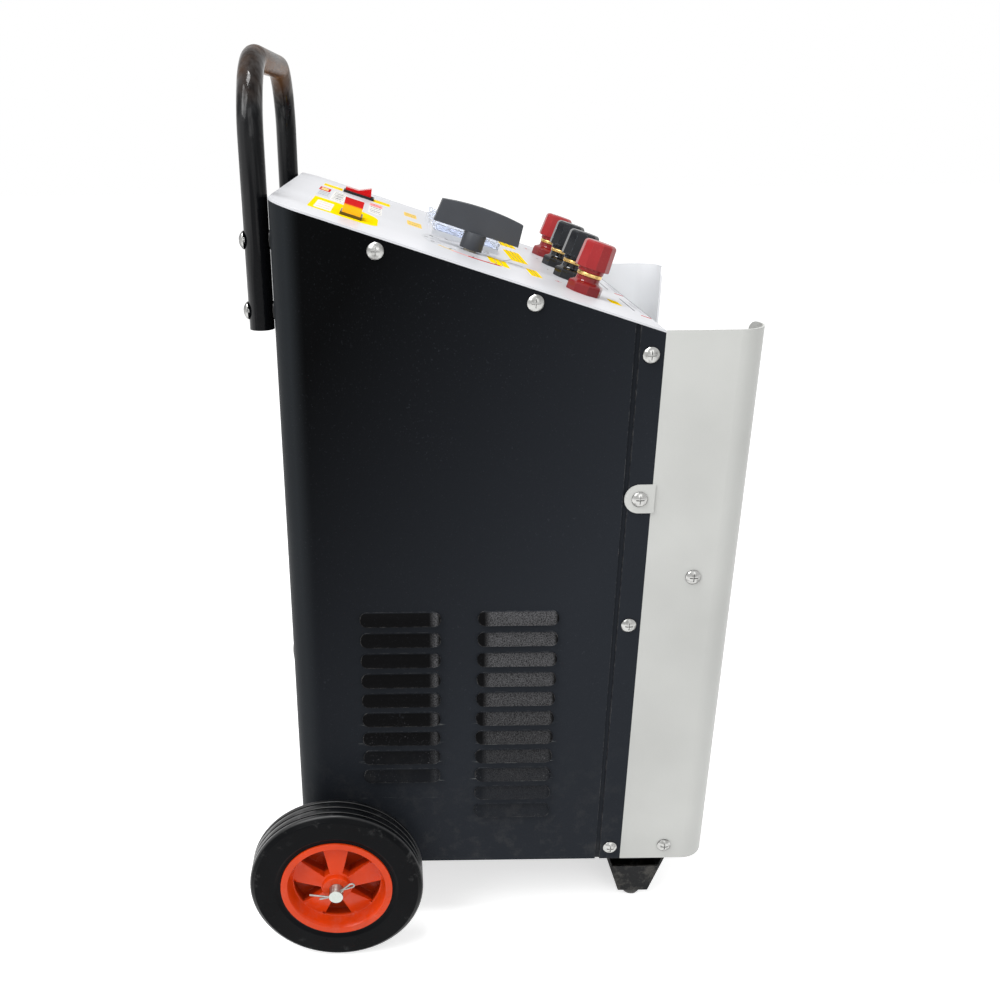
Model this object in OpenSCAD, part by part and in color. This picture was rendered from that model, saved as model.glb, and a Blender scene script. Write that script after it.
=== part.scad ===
// Wheeled garage battery charger: sheet-steel cabinet with a sloping control
// panel, a cable tray in front, a tube handle behind, two wheels and a front foot.
// Millimetres.  +Z is up, the tray faces -Y, and the origin lies on the ground
// under the middle of the whole charger.

/* [Cabinet] */
// Outer width of the cabinet
cab_w = 350; // [330:5:400]
// Depth from the rear face to the seam with the cable tray
cab_d = 288; // [280:2:330]
// Height of the rear edge above the cabinet's bottom
rear_h = 576; // [560:2:640]
// Height of the front edge above the cabinet's bottom
front_h = 481; // [460:1:520]
// Radius of the bent rear corners
corner_r = 24; // [16:1:30]
// Sheet thickness
sheet = 1.5; // [1:0.1:2]
// Width of the front frame's side strip
strip_w = 18.5; // [16:0.5:24]
// Width of the groove between wrap and strip
groove_w = 4; // [3:0.5:6]
// Depth of the control panel's folded lip
lip_d = 18; // [16:1:30]
// Leg of the front corner posts
post_leg = 18; // [16:1:26]

/* [Louvres] */
// Length of one louvre
louver_w = 66; // [50:1:68]
// Height of one louvre
louver_h = 11.5; // [9:0.5:14]
// How far a louvre stands out
louver_out = 4.5; // [3:0.5:6]
// Distance between rows
louver_pitch = 19.1; // [17:0.1:22]
// Rows in the front column
front_rows = 11; // [4:1:12]
// Rows in the rear column
rear_rows = 9; // [4:1:9]
// Height of the top row above the cabinet's bottom
louver_top = 248; // [240:1:300]
// Centre of the rear column behind which lies the wheel, from the rear face
louver_rear_b = 91; // [84:1:96]
// Centre of the front column, from the rear face
louver_front_b = 187.5; // [182:0.5:200]

/* [Cable tray] */
// Depth of the tray in front of the seam
tray_d = 78; // [60:1:110]
// Bend radius of the wings' front edge
wing_r = 22; // [14:1:28]
// Angle that the wings' front bend turns through
wing_sweep = 107; // [90:1:110]
// Straight width of the wings' flange after the bend
flange_w = 10; // [8:1:16]
// Corner radius at the top of the flange
flange_r = 9; // [4:1:12]
// Distance from the wings' front edge back to the tray's front lip
lip_back = 10; // [10:1:14]
// Height of the tray floor's front lip
tray_lip = 60; // [30:2:120]
// Height of the wings' upper tab above the cabinet's bottom
tab_h = 350; // [320:1:380]
// Tab width
tab_w = 23.4; // [18:0.2:28]
// Height of the tray brace's screws above the cabinet's bottom
brace_h = 282; // [200:1:300]
// Depth of the brace strip
brace_d = 25; // [16:1:30]

/* [Handle] */
// Tube diameter
tube_d = 19; // [16:0.5:25]
// Tube wall
tube_wall = 1.5; // [1:0.1:2]
// Distance between the uprights, centre to centre
handle_w = 266; // [240:2:290]
// Height of the crossbar's centre above the cabinet's bottom
handle_h = 669; // [640:1:760]
// Height of the uprights' lower ends above the cabinet's bottom
handle_low = 478; // [440:1:480]
// Bend radius of the tube's centre line
handle_r = 55; // [40:1:70]
// Thickness of the spacers between tube and cabinet
spacer_t = 2.5; // [1:0.5:6]
// Upper handle screw above the cabinet's bottom
handle_screw_hi = 544; // [530:1:548]
// Lower handle screw above the cabinet's bottom
handle_screw_lo = 492; // [490:1:520]

/* [Wheels] */
// Tyre diameter
tyre_d = 150; // [140:1:180]
// Tyre width
tyre_w = 30; // [26:1:40]
// Rim diameter, the tyre's bore
rim_d = 96.6; // [88:0.2:110]
// Gap between the cabinet and the tyre
wheel_gap = 18; // [12:1:26]
// Axle diameter
axle_d = 12; // [10:0.5:14]
// Radial running clearance of the hub on the axle
axle_clear = 0.05; // [0.02:0.01:0.1]
// Axle centre above the cabinet's bottom
axle_up = 11; // [11:0.5:16]
// Axle centre in front of the rear face
axle_b = 33; // [31:1:60]
// Spokes in a wheel
spokes = 5; // [4:1:6]
// Width of one spoke at the boss
spoke_in = 10.6; // [8:0.2:13]
// Width of one spoke at the dish's edge
spoke_out = 24.8; // [14:0.2:30]
// Hub boss diameter
boss_d = 24; // [22:1:30]
// Width of the hub's flat outer lip
hub_lip = 5.6; // [4:0.2:8]
// Depth of the dish at its edge, below the lip
dish_deep = 10.7; // [8:0.1:14]
// How much less deep the dish is at the boss
dish_rise = 5.9; // [2:0.1:7]
// Depth of the windows below the lip
window_deep = 20; // [17:0.5:24]

/* [Front foot] */
// Each end of the foot in from the cabinet's side
foot_in = 22; // [15:1:45]
// Front to back at the top
foot_top = 67; // [56:1:76]
// Front to back at the bottom
foot_bot = 28; // [24:1:36]
// Foot centre from the rear face
foot_b = 309; // [300:1:324]
// Open height of the channel's ends, above their end plates
end_open = 28.5; // [20:0.5:34]
// Foot steel thickness
foot_t = 2; // [1.5:0.1:3]
// Rubber pad diameter
pad_d = 18; // [14:1:24]
// Rubber pad height
pad_h = 7; // [6:0.5:12]

/* [Fasteners] */
// Truss screw head diameter
head_d = 12.4; // [9:0.2:14]
// Truss screw head height
head_h = 3.2; // [2.5:0.1:4]
// Screw shank diameter
screw_d = 5; // [4:0.1:6]
// Screw length under the head
screw_len = 11; // [9:0.5:16]

/* [Selector knob] */
// Knob centre across the panel, from its left edge
knob_a = 104; // [100:1:106]
// Knob centre down the slope, from its rear edge
knob_s = 159; // [150:1:170]
// Length of the bar
bar_len = 71; // [50:1:76]
// Thickness of the bar
bar_w = 12; // [8:0.5:16]
// Height of the bar at its ends
bar_h = 17; // [12:0.5:20]
// Extra height at the middle of the crowned bar
bar_crown = 3; // [1:0.5:4]
// Stem diameter
stem_d = 18.6; // [14:0.2:22]
// Stem height below the bar
stem_h = 13; // [10:0.5:18]
// Shaft diameter
shaft_d = 6; // [5:0.5:8]
// Radial clearance of the shaft in its bush
shaft_clear = 0.05; // [0.02:0.01:0.1]

/* [Rocker switches] */
// Rocker centre across the panel, from each side
rocker_a = 75.5; // [60:0.5:90]
// Rocker centre down the slope
rocker_s = 60; // [50:1:90]
// Bezel length
rocker_len = 29.5; // [26:0.5:34]
// Bezel width
rocker_wid = 17.5; // [14:0.5:20]
// Bezel thickness
bezel_t = 2.4; // [1.5:0.1:3]
// Height of the left rocker above its pin
rocker_tall = 12; // [7:0.5:13]
// Height of the right rocker above its pin
rocker_low = 8.5; // [7:0.5:13]
// Tilt of a rocker on one side
rocker_tilt = 12; // [8:1:14]

/* [Meters] */
// Meter width across the panel
meter_w = 64; // [56:1:68]
// Meter height along the slope
meter_l = 58; // [52:1:62]
// Meter height above the panel
meter_h = 9.5; // [9:0.5:16]
// Centre of the first meter across the panel, from its left edge
meter_a = 175; // [174:1:182]
// Distance between the two meters
meter_pitch = 92; // [80:1:94]
// Meter centre down the slope
meter_s = 157; // [145:1:160]
// Diameter of the barrel behind the panel
barrel_d = 50; // [44:1:52]

/* [Terminals] */
// Distance between terminals
post_pitch = 70; // [50:1:74]
// Terminals' distance down the slope
post_s = 250.5; // [240:0.5:262]
// Diameter of the insulating base
base_d = 28.4; // [24:0.2:32]
// Diameter of the cap at its lower edge
cap_d = 27.6; // [20:0.2:30]
// How much narrower the cap is at its top
cap_taper = 2; // [0:0.2:4]
// Height of the cap's head
cap_h = 20.6; // [12:0.2:22]
// Stud diameter
stud_d = 8; // [6:1:10]
// Height of the insulating base
base_h = 8; // [5:0.5:11]
// Height of the neck above the base
neck_h = 5; // [3:0.5:7]
// Thickness of the brass washer
brass_t = 2.8; // [2:0.2:4]
// Height of the cap's round collar
collar_h = 3.2; // [2.4:0.2:8]

/* [Transformer] */
// Core width
core_w = 130; // [110:1:150]
// Core height
core_h = 112; // [90:1:140]
// Stack thickness
core_t = 62; // [50:1:80]
// Width of the core's outer legs
core_leg = 20; // [16:1:22]
// Core centre from the rear face
core_b = 150; // [140:1:156]

/* [Rectifier] */
// Width of the cooling plate
plate_w = 150; // [120:1:180]
// Height of the cooling plate
plate_h = 120; // [90:1:150]
// Distance from the rear face to the cooling plate's front
plate_b = 242; // [240:1:248]

/* [Hidden] */
$fn = 64;
fit = 0.3;
eps = 0.01;
RED = [0.72, 0.1, 0.12];
BLACK = [0.1, 0.1, 0.11];
WHITE = [0.88, 0.88, 0.86];
ZINC = [0.78, 0.78, 0.8];
BRASS = [0.85, 0.68, 0.35];
ORANGE = [0.92, 0.33, 0.12];
STEEL = [0.5, 0.5, 0.52];

cab_z = tyre_d / 2 - axle_up;
y_rear = (cab_d + tray_d - (tyre_d / 2 - axle_b)) / 2;
slope = atan((rear_h - front_h) / cab_d);
axle_z = tyre_d / 2;
axle_y = y_rear - axle_b;
hub_in = cab_w / 2 + wheel_gap;
hub_out = hub_in + tyre_w;
washer_t = 2;
pin_r = 1.6;
pin_in = 5.2;
hub_play = 2.4;
axle_half = hub_out + hub_play + pin_r + pin_in;
post_in = sheet + fit;
wall_in = 2 * sheet + fit;
foot_h = cab_z - pad_h;
screw_hole_r = screw_d / 2 + 0.2;
tube_y = y_rear + spacer_t + tube_d / 2;
strip_b = cab_d - strip_w / 2 - 0.5;
tray_b = cab_d + tray_d / 2;
pan_t = 2;
pan_flange = 16;
// side screws that hold the control panel's lip: distance from the rear face
lip_screws = [76.5, 191.5];
lip_screw_drop = lip_d * 0.6;
// strip screws above the cabinet's bottom; the top one sits under the panel
strip_screws = [12.7, 239, front_h - lip_d];
floor_screw_h = 14.4;
floor_ear = 25;
gland_x = 75;
gland_h = 70;
gland_r = 10;
cable_r = 5;
rib = 0.8;
hood_t = 1.2;
hood_arc_r = (louver_h * louver_h + louver_out * louver_out) / (2 * louver_out);
heads = [for (i = [0:3]) -1.5 * post_pitch + i * post_pitch];
seat = 0.2;
cap_clear = 0.05;
cap_edge = 1.6;
cap_top_d = cap_d - cap_taper;
washer_h = base_h + neck_h + seat;
cap_z = washer_h + brass_t + seat;
stud_top = cap_z + collar_h + cap_h * 0.6;
stud_low = 18;
bush_h = 3;
nut_h = 6.5;
neck_d = base_d * 0.7;
case_h = 4;
barrel_deep = 24;
dial_h = case_h + 0.6;
needle_h = dial_h + 1;
needle_t = 1;
needle_r = 0.6;
pivot_drop = 17;
// how much smaller a rocker's housing is than its bezel, and its well than that
body_step = 1;
well_step = 1.2;
well_gap = 0.3;
pin_step = 0.3;
rocker_pin_r = 1.2;
rocker_pin_z = -1;
knob_gap = 1.6;
knob_top = stem_h + bar_h + bar_crown;
shaft_in = 8;
plug_d = 5;
plug_deep = 1.2;
switch_deep = 30;
plate_t = 3;
plate_foot = 24;
diode_z = cab_z + pan_t + plate_h - 40;
diode_out = 19;
diode_stud = 6;
diode_hex = 17;
diode_hex_h = 5;
diode_can = 11;
diode_can_h = 6;
lead_r = 2.5;
lead_bend = cab_z + rear_h / 2;
core_lift = 14;
core_z = cab_z + pan_t + core_lift;
core_win = (core_w - 4 * core_leg) / 2;
rail_w = 20;
rail_t = 3;
frame_out = 22;
// how far the strips' stepped edge reaches behind the wrap
lap = 12;
step_end = strip_w + groove_w + lap;
// the front corner of the base pan stays clear of the stepped edge
pan_notch = sheet + fit + pan_t;
flange_edge = wing_r * (1 - cos(wing_sweep)) + flange_w * sin(wing_sweep);
foot_len = cab_w - 2 * foot_in;
foot_bolt_x = foot_len / 2 - 40;
foot_bolt_y = foot_top / 2 - 7;
foot_flange = 14;
rim_flange = 4.2;
dish_r = rim_d / 2 - hub_lip - rim_flange;
// the raised ring on a tyre's side, and the step to its tread
side_ring_in = 2.6;
side_ring_out = 5.4;
tread_step = 3.8;
tread_edge = 0.6;
bead_deep = 1.5;
shoulder = 4;
groove_pitch = 7;
groove_deep = 1.6;
groove_wide = 1.4;
bolt_head_d = 7.6;

// ---- places ----------------------------------------------------------------

// height of the panel's surface at a distance b in front of the rear face
function top_at(b) = cab_z + rear_h - b * tan(slope);

// puts its children on the control panel: a across from the left edge,
// s down the slope from the rear edge, h above the surface
module on_panel(a, s, h = 0) {
  translate([0, y_rear, cab_z + rear_h])
    rotate([slope, 0, 0])
      translate([a - cab_w / 2, -s, h])
        children();
}

// puts its children at b in front of the rear face and c above the cabinet's
// bottom on the left side, with their +Z pointing out of it
module on_side(b, c, out = 0) {
  translate([-cab_w / 2 - out, y_rear - b, cab_z + c])
    rotate([0, -90, 0])
      children();
}

module both_sides() {
  children();
  mirror([1, 0, 0]) children();
}

// a solid with a Y-Z outline between two X values
module prism_x(points, x0, x1) {
  translate([x0, 0, 0])
    rotate([90, 0, 90])
      linear_extrude(x1 - x0)
        polygon(points);
}

// the layer between two heights above the panel's surface
module slab(h0, h1, d0 = -1, d1 = cab_d + 1) {
  lift = 1 / cos(slope);
  prism_x([[y_rear - d0, top_at(d0) + h0 * lift], [y_rear - d0, top_at(d0) + h1 * lift],
           [y_rear - d1, top_at(d1) + h1 * lift], [y_rear - d1, top_at(d1) + h0 * lift]],
          -cab_w, cab_w);
}

// everything between the cabinet's bottom and the panel's underside
module under_panel(drop = sheet) {
  lift = drop / cos(slope);
  d1 = cab_d + 1;
  prism_x([[y_rear + 1, cab_z], [y_rear + 1, top_at(-1) - lift],
           [y_rear - d1, top_at(d1) - lift], [y_rear - d1, cab_z]],
          -cab_w, cab_w);
}

// plan of the cabinet, with its rounded rear corners, from the rear to b
module plan(inset, b) {
  w = cab_w / 2 - inset;
  r = corner_r - inset;
  y1 = y_rear - corner_r;
  translate([-w, y_rear - b]) square([2 * w, y1 - y_rear + b]);
  translate([-w + r, y1 - eps]) square([2 * (w - r), r + eps]);
  for (s = [-1, 1]) translate([s * (w - r), y1]) circle(r);
}

// ---- fasteners -------------------------------------------------------------

// truss-head screw: the head's underside lies at z = 0, its shank points down
module truss_screw(len = screw_len, d = screw_d, hd = head_d, hh = head_h) {
  rim = 0.8;
  ball = (hd * hd / 4 + (hh - rim) * (hh - rim)) / (2 * (hh - rim));
  difference() {
    union() {
      cylinder(h = rim, d = hd);
      intersection() {
        translate([0, 0, hh - ball]) sphere(ball);
        cylinder(h = hh + 1, d = hd);
      }
    }
    for (t = [0, 90])
      rotate(t) translate([-hd * 0.26, -rib / 2, hh - 1.5]) cube([hd * 0.52, rib, 3]);
  }
  translate([0, 0, -len]) cylinder(h = len + eps, d = d);
}

module hex_nut(across, h, bore) {
  difference() {
    cylinder(h = h, d = across / cos(30), $fn = 6);
    translate([0, 0, -1]) cylinder(h = h + 2, d = bore);
  }
}

// ---- cabinet ---------------------------------------------------------------

// outline of a louvre, lying along Y
module stadium(len, wid) {
  for (s = [-1, 1]) translate([0, s * (len - wid) / 2]) circle(wid / 2);
  translate([-wid / 2, -(len - wid) / 2]) square([wid, len - wid]);
}

// the arc of a hood seen from its end, above the sheet's outer face: it leaves the
// sheet at the top and stands out furthest at its lower lip
module hood_arc(inset) {
  intersection() {
    translate([-louver_h / 2, louver_out - hood_arc_r]) circle(hood_arc_r - inset);
    translate([-louver_h / 2 - (inset > 0 ? 1 : 0), inset > 0 ? eps : 0]) square([louver_h + 1, louver_out]);
  }
}

// one pressed hood: local +Z points out of the side, local +X points up
module hood() {
  intersection() {
    linear_extrude(louver_out) stadium(louver_w, louver_h);
    translate([0, louver_w / 2, 0])
      rotate([90, 0, 0]) linear_extrude(louver_w) hood_arc(0);
  }
}

// the air way under a hood, open at its lower lip
module air_way() {
  half = (louver_w - louver_h) / 2 + 2;
  open_h = sqrt(pow(hood_arc_r - hood_t, 2) - pow(hood_arc_r - louver_out, 2));
  translate([0, half, 0])
    rotate([90, 0, 0])
      linear_extrude(2 * half) {
        hood_arc(hood_t);
        translate([-louver_h / 2 + 1, -sheet - 1]) square([open_h - 1, sheet + 1 + 2 * eps]);
      }
}

module louver_field() {
  both_sides() {
    for (i = [0:rear_rows - 1]) on_side(louver_rear_b, louver_top - i * louver_pitch) children();
    for (i = [0:front_rows - 1]) on_side(louver_front_b, louver_top - i * louver_pitch) children();
  }
}

module rear_shell() color(BLACK) {
  joint_b = cab_d - strip_w - groove_w;
  difference() {
    union() {
      intersection() {
        translate([0, 0, cab_z])
          linear_extrude(rear_h)
            difference() {
              plan(0, joint_b);
              plan(sheet, cab_d + 1);
            }
        under_panel();
      }
      louver_field() hood();
    }
    louver_field() air_way();
    both_sides() {
      for (b = lip_screws)
        on_side(b, lip_screw_c(b), -sheet - 1) cylinder(h = sheet + 2, r = screw_hole_r);
      on_side(axle_b, axle_up, -sheet - 1) cylinder(h = sheet + 2, d = axle_d + 1);
      for (c = [handle_screw_lo, handle_screw_hi])
        translate([handle_w / 2, y_rear + 1, cab_z + c])
          rotate([90, 0, 0]) cylinder(h = sheet + 2, r = screw_hole_r + 0.5);
    }
    translate([gland_x, y_rear + 1, cab_z + gland_h])
      rotate([90, 0, 0]) cylinder(h = sheet + 2, r = gland_r);
  }
}

// height of a lip screw above the cabinet's bottom
function lip_screw_c(b) = top_at(b) - cab_z - lip_screw_drop;

// front wall with two side strips; each strip steps in behind the wrap
module front_frame() color(BLACK) {
  w = cab_w / 2;
  difference() {
    intersection() {
      translate([0, 0, cab_z])
        linear_extrude(rear_h)
          both_halves_plan() {
            translate([-w, y_rear - cab_d]) square([sheet, strip_w]);
            translate([-w, y_rear - cab_d + strip_w - sheet]) square([wall_in, sheet]);
            translate([-w + post_in, y_rear - cab_d + strip_w - sheet])
              square([sheet, groove_w + lap + sheet]);
            translate([-w, y_rear - cab_d]) square([w + eps, sheet]);
          }
      under_panel();
    }
    both_sides() {
      for (c = strip_screws)
        on_side(strip_b, c, -sheet - 1) cylinder(h = sheet + 2, r = screw_hole_r);
      on_side(strip_b, tab_h, -sheet - 1) cylinder(h = sheet + 2, r = screw_hole_r);
    }
  }
}

module both_halves_plan() {
  children();
  mirror([1, 0]) children();
}

module base_pan() color(STEEL) {
  inset = sheet + fit;
  front = cab_d - sheet - fit;
  difference() {
    translate([0, 0, cab_z]) {
      linear_extrude(pan_t) plan(inset, front);
      linear_extrude(pan_flange)
        difference() {
          plan(inset, front);
          plan(inset + pan_t, cab_d + 1);
        }
    }
    both_sides() {
      on_side(axle_b, axle_up, -inset - pan_t - 1) cylinder(h = pan_t + 2, d = axle_d + 1);
      translate([-cab_w / 2, y_rear - cab_d - 1, cab_z - 1])
        cube([pan_notch, step_end + fit + 1, pan_flange + 2]);
    }
    foot_bolt_holes(pan_t);
    frame_bolt_places() translate([0, 0, -pan_t - 1]) cylinder(h = pan_t + 2, r = screw_hole_r);
  }
}

// plan of a ring that stays open at the front
module pan_outline(inset, front) {
  intersection() {
    plan(inset, front);
    translate([-cab_w, y_rear - front]) square([2 * cab_w, front - inset]);
  }
}

// two upright angles that the strips' screws go into
module corner_posts() color(STEEL) {
  x0 = -cab_w / 2 + sheet + fit;
  y0 = y_rear - cab_d + sheet + fit;
  z0 = cab_z + pan_t + fit;
  leg_y = strip_w - 2 * sheet - 2 * fit;
  difference() {
    intersection() {
      both_sides() {
        translate([x0, y0, z0]) cube([2, leg_y, rear_h]);
        translate([x0, y0, z0]) cube([post_leg, 2, rear_h]);
      }
      under_panel(sheet + fit);
    }
    both_sides() {
      for (c = strip_screws) on_side(strip_b, c, -12) cylinder(h = 13, r = screw_hole_r);
      on_side(strip_b, tab_h, -12) cylinder(h = 13, r = screw_hole_r);
    }
  }
}

module control_panel() color(WHITE) {
  inset = sheet + fit;
  difference() {
    union() {
      intersection() {
        translate([0, 0, cab_z]) linear_extrude(rear_h + 20) plan(0, cab_d);
        slab(-sheet, 0);
      }
      intersection() {
        translate([0, 0, cab_z])
          linear_extrude(rear_h + 20)
            difference() {
              pan_outline(inset, cab_d - step_end - 2);
              pan_outline(inset + sheet, cab_d + 1);
            }
        slab(-lip_d, -sheet + eps);
      }
    }
    both_sides() {
      for (b = lip_screws)
        on_side(b, lip_screw_c(b), -inset - sheet - 1) cylinder(h = sheet + 2, r = screw_hole_r);
    }
    for (x = heads) on_panel(cab_w / 2 + x, post_s, -sheet - 1) cylinder(h = sheet + 2, d = stud_d + 4);
    on_panel(knob_a, knob_s, -sheet - 1) cylinder(h = sheet + 2, d = shaft_d + 5);
    on_meters(-sheet - 1) cylinder(h = sheet + 2, d = barrel_d + 1);
    on_panel(rocker_a, rocker_s, -sheet - 1) rocker_cutout();
    on_panel(cab_w - rocker_a, rocker_s, -sheet - 1) rotate(90) rocker_cutout();
  }
}

module rocker_cutout() {
  l = rocker_len - body_step + 2 * fit;
  w = rocker_wid - body_step + 2 * fit;
  translate([-l / 2, -w / 2, 0]) cube([l, w, sheet + 2]);
}

// ---- cable tray ------------------------------------------------------------

module wing_plan() {
  w = cab_w / 2;
  front = y_rear - cab_d - tray_d;
  reach = 2 * wing_r;
  translate([-w, front + wing_r]) square([sheet, tray_d - wing_r]);
  translate([-w + wing_r, front + wing_r]) {
    intersection() {
      difference() {
        circle(wing_r);
        circle(wing_r - sheet);
      }
      polygon(concat([[0, 0]],
        [for (t = [180, 225, 270, 180 + wing_sweep]) [reach * cos(t), reach * sin(t)]]));
    }
    rotate(180 + wing_sweep) translate([wing_r - sheet, 0]) square([sheet, flange_w]);
  }
}

module wing() color(WHITE) {
  w = cab_w / 2;
  difference() {
    union() {
      intersection() {
        translate([0, 0, cab_z]) linear_extrude(front_h) wing_plan();
        translate([0, y_rear, 0])
          rotate([90, 0, 0])
            linear_extrude(cab_d + tray_d + 1) {
              translate([-w, cab_z]) square([flange_edge - flange_r, front_h]);
              translate([-w, cab_z]) square([flange_edge, front_h - flange_r]);
              translate([-w + flange_edge - flange_r, cab_z + front_h - flange_r]) circle(flange_r);
            }
      }
      // tab that lies over the black strip
      on_side(strip_b, tab_h) cylinder(h = sheet, d = tab_w);
      translate([-w - sheet, y_rear - cab_d - 2, cab_z + tab_h - tab_w / 2])
        cube([sheet, cab_d - strip_b + 2, tab_w]);
      translate([-w - sheet, y_rear - cab_d - 2, cab_z + tab_h - tab_w / 2])
        cube([2 * sheet, 2, tab_w]);
    }
    on_side(strip_b, tab_h, -1) cylinder(h = sheet + 2, r = screw_hole_r);
    on_side(tray_b, brace_h, -sheet - 1) cylinder(h = sheet + 2, r = screw_hole_r);
    on_side(tray_b, floor_screw_h, -sheet - 1) cylinder(h = sheet + 2, r = screw_hole_r);
  }
}

module tray_wing_left() wing();
module tray_wing_right() mirror([1, 0, 0]) wing();

module tray_floor() color(WHITE) {
  x0 = cab_w / 2 - sheet - fit;
  x1 = x0 - wing_r / 2;
  y0 = y_rear - cab_d - fit;
  y1 = y_rear - cab_d - tray_d + lip_back;
  bend = y_rear - cab_d - tray_d + wing_r;
  difference() {
    union() {
      translate([-x1, y1, cab_z]) cube([2 * x1, y0 - y1, sheet]);
      translate([-x0, bend, cab_z]) cube([2 * x0, y0 - bend, sheet]);
      translate([-x1, y1, cab_z]) cube([2 * x1, sheet, tray_lip]);
      translate([-x0, y0 - sheet, cab_z]) cube([2 * x0, sheet, floor_ear]);
      both_sides() translate([-x0, bend, cab_z]) cube([sheet, y0 - bend, floor_ear]);
    }
    both_sides()
      on_side(tray_b, floor_screw_h, -2 * sheet - 1) cylinder(h = 2 * sheet + 1, r = screw_hole_r);
    foot_bolt_holes(sheet);
  }
}

// strip across the tray that keeps the wings apart
module tray_brace() color(WHITE) {
  x0 = cab_w / 2 - sheet - fit;
  ear = 20;
  y0 = y_rear - tray_b - brace_d / 2;
  z0 = cab_z + brace_h - ear / 2;
  difference() {
    union() {
      translate([-x0, y0, z0]) cube([2 * x0, brace_d, sheet]);
      both_sides() translate([-x0, y0, z0]) cube([sheet, brace_d, ear]);
    }
    both_sides()
      on_side(tray_b, brace_h, -2 * sheet - 1) cylinder(h = 2 * sheet + 1, r = screw_hole_r);
  }
}

// ---- handle ----------------------------------------------------------------

// the handle's run with a given radius; the centre line lies in the plane y = 0
module handle_run(r, low) {
  up = handle_h - handle_r - low;
  both_sides() {
    translate([-handle_w / 2, 0, cab_z + low]) cylinder(h = up, r = r);
    translate([-handle_w / 2 + handle_r, 0, cab_z + handle_h - handle_r])
      rotate([90, 0, 0])
        rotate([0, 0, 90])
          rotate_extrude(angle = 90) translate([handle_r, 0]) circle(r);
  }
  translate([-handle_w / 2 + handle_r, 0, cab_z + handle_h])
    rotate([0, 90, 0]) cylinder(h = handle_w - 2 * handle_r, r = r);
}

module handle() color(BLACK) {
  difference() {
    translate([0, tube_y, 0])
      difference() {
        handle_run(tube_d / 2, handle_low);
        handle_run(tube_d / 2 - tube_wall, handle_low - 1);
      }
    handle_screw_places() translate([0, 0, -1]) cylinder(h = tube_d + 2, r = screw_hole_r + 0.5);
  }
}

// origin on the tube's front, +Z pointing to the rear
module handle_screw_places() {
  for (x = [-1, 1], c = [handle_screw_lo, handle_screw_hi])
    translate([x * handle_w / 2, tube_y - tube_d / 2, cab_z + c])
      rotate([-90, 0, 0]) children();
}

module handle_spacers() color(BLACK) {
  handle_screw_places()
    translate([0, 0, -spacer_t])
      difference() {
        cylinder(h = spacer_t - 0.05, d = 14);
        translate([0, 0, -1]) cylinder(h = spacer_t + 2, r = screw_hole_r + 0.5);
      }
}

module handle_screws() color(ZINC) {
  handle_screw_places()
    translate([0, 0, tube_d + 0.05])
      truss_screw(len = tube_d + spacer_t + sheet + 8, d = screw_d + 0.5, hd = 13.5, hh = 4);
}

module handle_nuts() color(ZINC) {
  handle_screw_places()
    translate([0, 0, -spacer_t - sheet - 5 - 0.1]) hex_nut(10, 5, screw_d + 0.5);
}

// ---- axle and wheels -------------------------------------------------------

module on_axle(x) {
  translate([x, axle_y, axle_z]) rotate([0, 90, 0]) children();
}

// direction of the split pins, seen from the side
pin_tilt = 15;

module axle() color(ZINC) {
  difference() {
    on_axle(-axle_half) cylinder(h = 2 * axle_half, d = axle_d);
    both_sides()
      translate([pin_x(), axle_y, axle_z])
        rotate([90 - pin_tilt, 0, 0]) cylinder(h = 2 * axle_d, r = pin_r + 0.2, center = true);
  }
}

function pin_x() = -(axle_half - pin_in);

module axle_brackets() color(STEEL) {
  wide = 30;
  high = axle_up + axle_d / 2 + 8;
  both_sides()
    difference() {
      translate([-cab_w / 2 + sheet + 26, axle_y - wide / 2, cab_z + pan_t]) {
        cube([3, wide, high - pan_t]);
        cube([22, wide, 3]);
      }
      on_axle(-cab_w / 2) cylinder(h = 80, d = axle_d + 0.2);
    }
}

module axle_spacers() color(ZINC) {
  both_sides()
    on_axle(-hub_in + 0.3 + washer_t + fit)
      difference() {
        cylinder(h = wheel_gap - 0.3 - washer_t - fit, d = axle_d + 7);
        translate([0, 0, -1]) cylinder(h = wheel_gap + 2, d = axle_d + 0.2);
      }
}

module axle_washers() color(ZINC) {
  both_sides()
    on_axle(-hub_in + 0.3)
      difference() {
        cylinder(h = washer_t, d = axle_d + 12);
        translate([0, 0, -1]) cylinder(h = washer_t + 2, d = axle_d + 0.2);
      }
}

module split_pins() color(ZINC) {
  half = axle_d / 2 + 2;
  eye = 4;
  pin_leg = 12;
  both_sides()
    translate([pin_x(), axle_y, axle_z])
      rotate([90 - pin_tilt, 0, 0]) {
        cylinder(h = 2 * half, r = pin_r, center = true);
        translate([0, 0, half + eye - 1])
          rotate([0, 90, 0]) rotate_extrude() translate([eye, 0]) circle(1.2);
        for (s = [-1, 1])
          translate([0, 0, -half + 1])
            rotate([s * 20, 0, 0])
              translate([0, 0, -pin_leg]) cylinder(h = pin_leg, r = 0.9);
      }
}

// the windows between the spokes, in plan
module hub_windows() {
  boss_r = boss_d / 2;
  reach = dish_r + 1;
  difference() {
    circle(r = dish_r - 0.6);
    circle(r = boss_r + 2);
    for (i = [0:spokes - 1])
      rotate(i * 360 / spokes)
        polygon([[0, -spoke_in / 2], [boss_r, -spoke_in / 2], [reach, -spoke_out / 2],
                 [reach, spoke_out / 2], [boss_r, spoke_in / 2], [0, spoke_in / 2]]);
  }
}

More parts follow.
